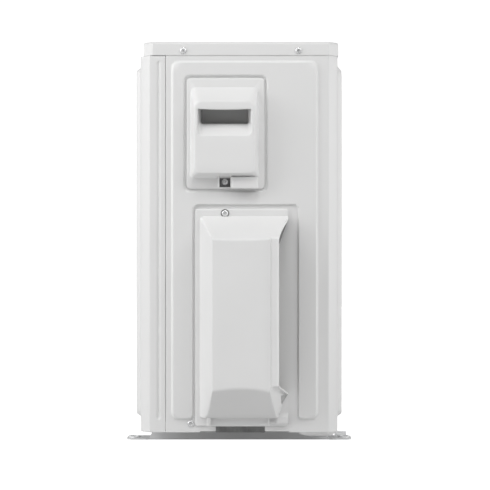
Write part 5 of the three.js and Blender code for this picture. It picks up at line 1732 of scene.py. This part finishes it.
def stage():
    """A white floor and background, and soft lights from above and from both sides."""
    scene = bpy.context.scene
    scene.view_settings.view_transform = "Standard"
    world = bpy.data.worlds.new("room")
    scene.world = world
    world.use_nodes = True
    tree = world.node_tree
    background = tree.nodes["Background"]
    seen = tree.nodes.new("ShaderNodeBackground")
    for node, strength in ((background, 0.19), (seen, 1.1)):
        node.inputs["Color"].default_value = (1, 1, 1, 1)
        node.inputs["Strength"].default_value = strength
    shown_to_camera(tree, background, seen, "World Output")

    half = 6000
    rows = [[(x, y, -0.5) for x in (-half, half)] for y in (-half, half)]
    floor = bpy.data.objects.new("floor", to_mesh("floor", Shape().grid(rows)))
    scene.collection.objects.link(floor)
    material, tree, principled = shader("floor", grey(0.62), 0.9, Emission_Strength=0.1)
    principled.inputs["Emission Color"].default_value = (1, 1, 1, 1)
    glow = tree.nodes.new("ShaderNodeEmission")
    glow.inputs["Strength"].default_value = 1.3
    shown_to_camera(tree, principled, glow, "Material Output", 0.93)
    floor.data.materials.append(material)

    for name, at, size, power in (
        ("key", (2.6, -2.4, 2.6), 1.6, 29),
        ("front", (1.2, -3.0, 1.2), 2.0, 48),
        ("overhead", (2.1, 0.0, 3.1), 1.3, 30),
        ("fill", (2.6, 2.4, 2.4), 1.6, 36),
        ("rear", (0.6, 3.2, 0.6), 1.5, 26),
    ):
        light = bpy.data.lights.new(name, "AREA")
        light.shape = "SQUARE"
        light.size = size
        light.energy = power
        obj = bpy.data.objects.new(name, light)
        obj.location = at
        obj.rotation_euler = (LIT - Vector(at)).to_track_quat("-Z", "Y").to_euler()
        scene.collection.objects.link(obj)


def camera():
    """Square to the service side, 2.8 m from it, at half the unit's height."""
    distance = 2.8
    aim_y, aim_z = 0.01065, 0.351
    data = bpy.data.cameras.new("camera")
    data.sensor_width = 36
    data.lens = 119.4
    obj = bpy.data.objects.new("camera", data)
    obj.location = (PANEL_X * MM + distance, aim_y, aim_z)
    obj.rotation_euler = (math.radians(90), 0, math.radians(90))
    bpy.context.scene.collection.objects.link(obj)
    bpy.context.scene.camera = obj


camera()
front_panel()
side_panel()
top_cover()
terminal_cover()
valve_cover()
screw("lid_screw_front", "root", 5.4)
screw("lid_screw_rear", "root", 5.4)
screw("base_screw", "root", 5.5)
screw("terminal_cover_screw", "terminal_screw", 5.5)
screw("valve_cover_screw", "valve_screw", 5.6)
base_pan()
foot("foot_left")
foot("foot_right")
corner_post()
net("rear_net", "rear_guard", 1, 24, 30)
net("left_net", "left_guard", 0, 11, 30)
fan_grille()
fan_shroud()
fan_blades()
fan_nut()
fan_motor()
coil()
kept_nodes()
reactor()
control_board()
terminal_block()
cable_clamp()
pipes()
service_valve("gas")
service_valve("liquid")
compressor()
accumulator()
reversing_valve()
stage()
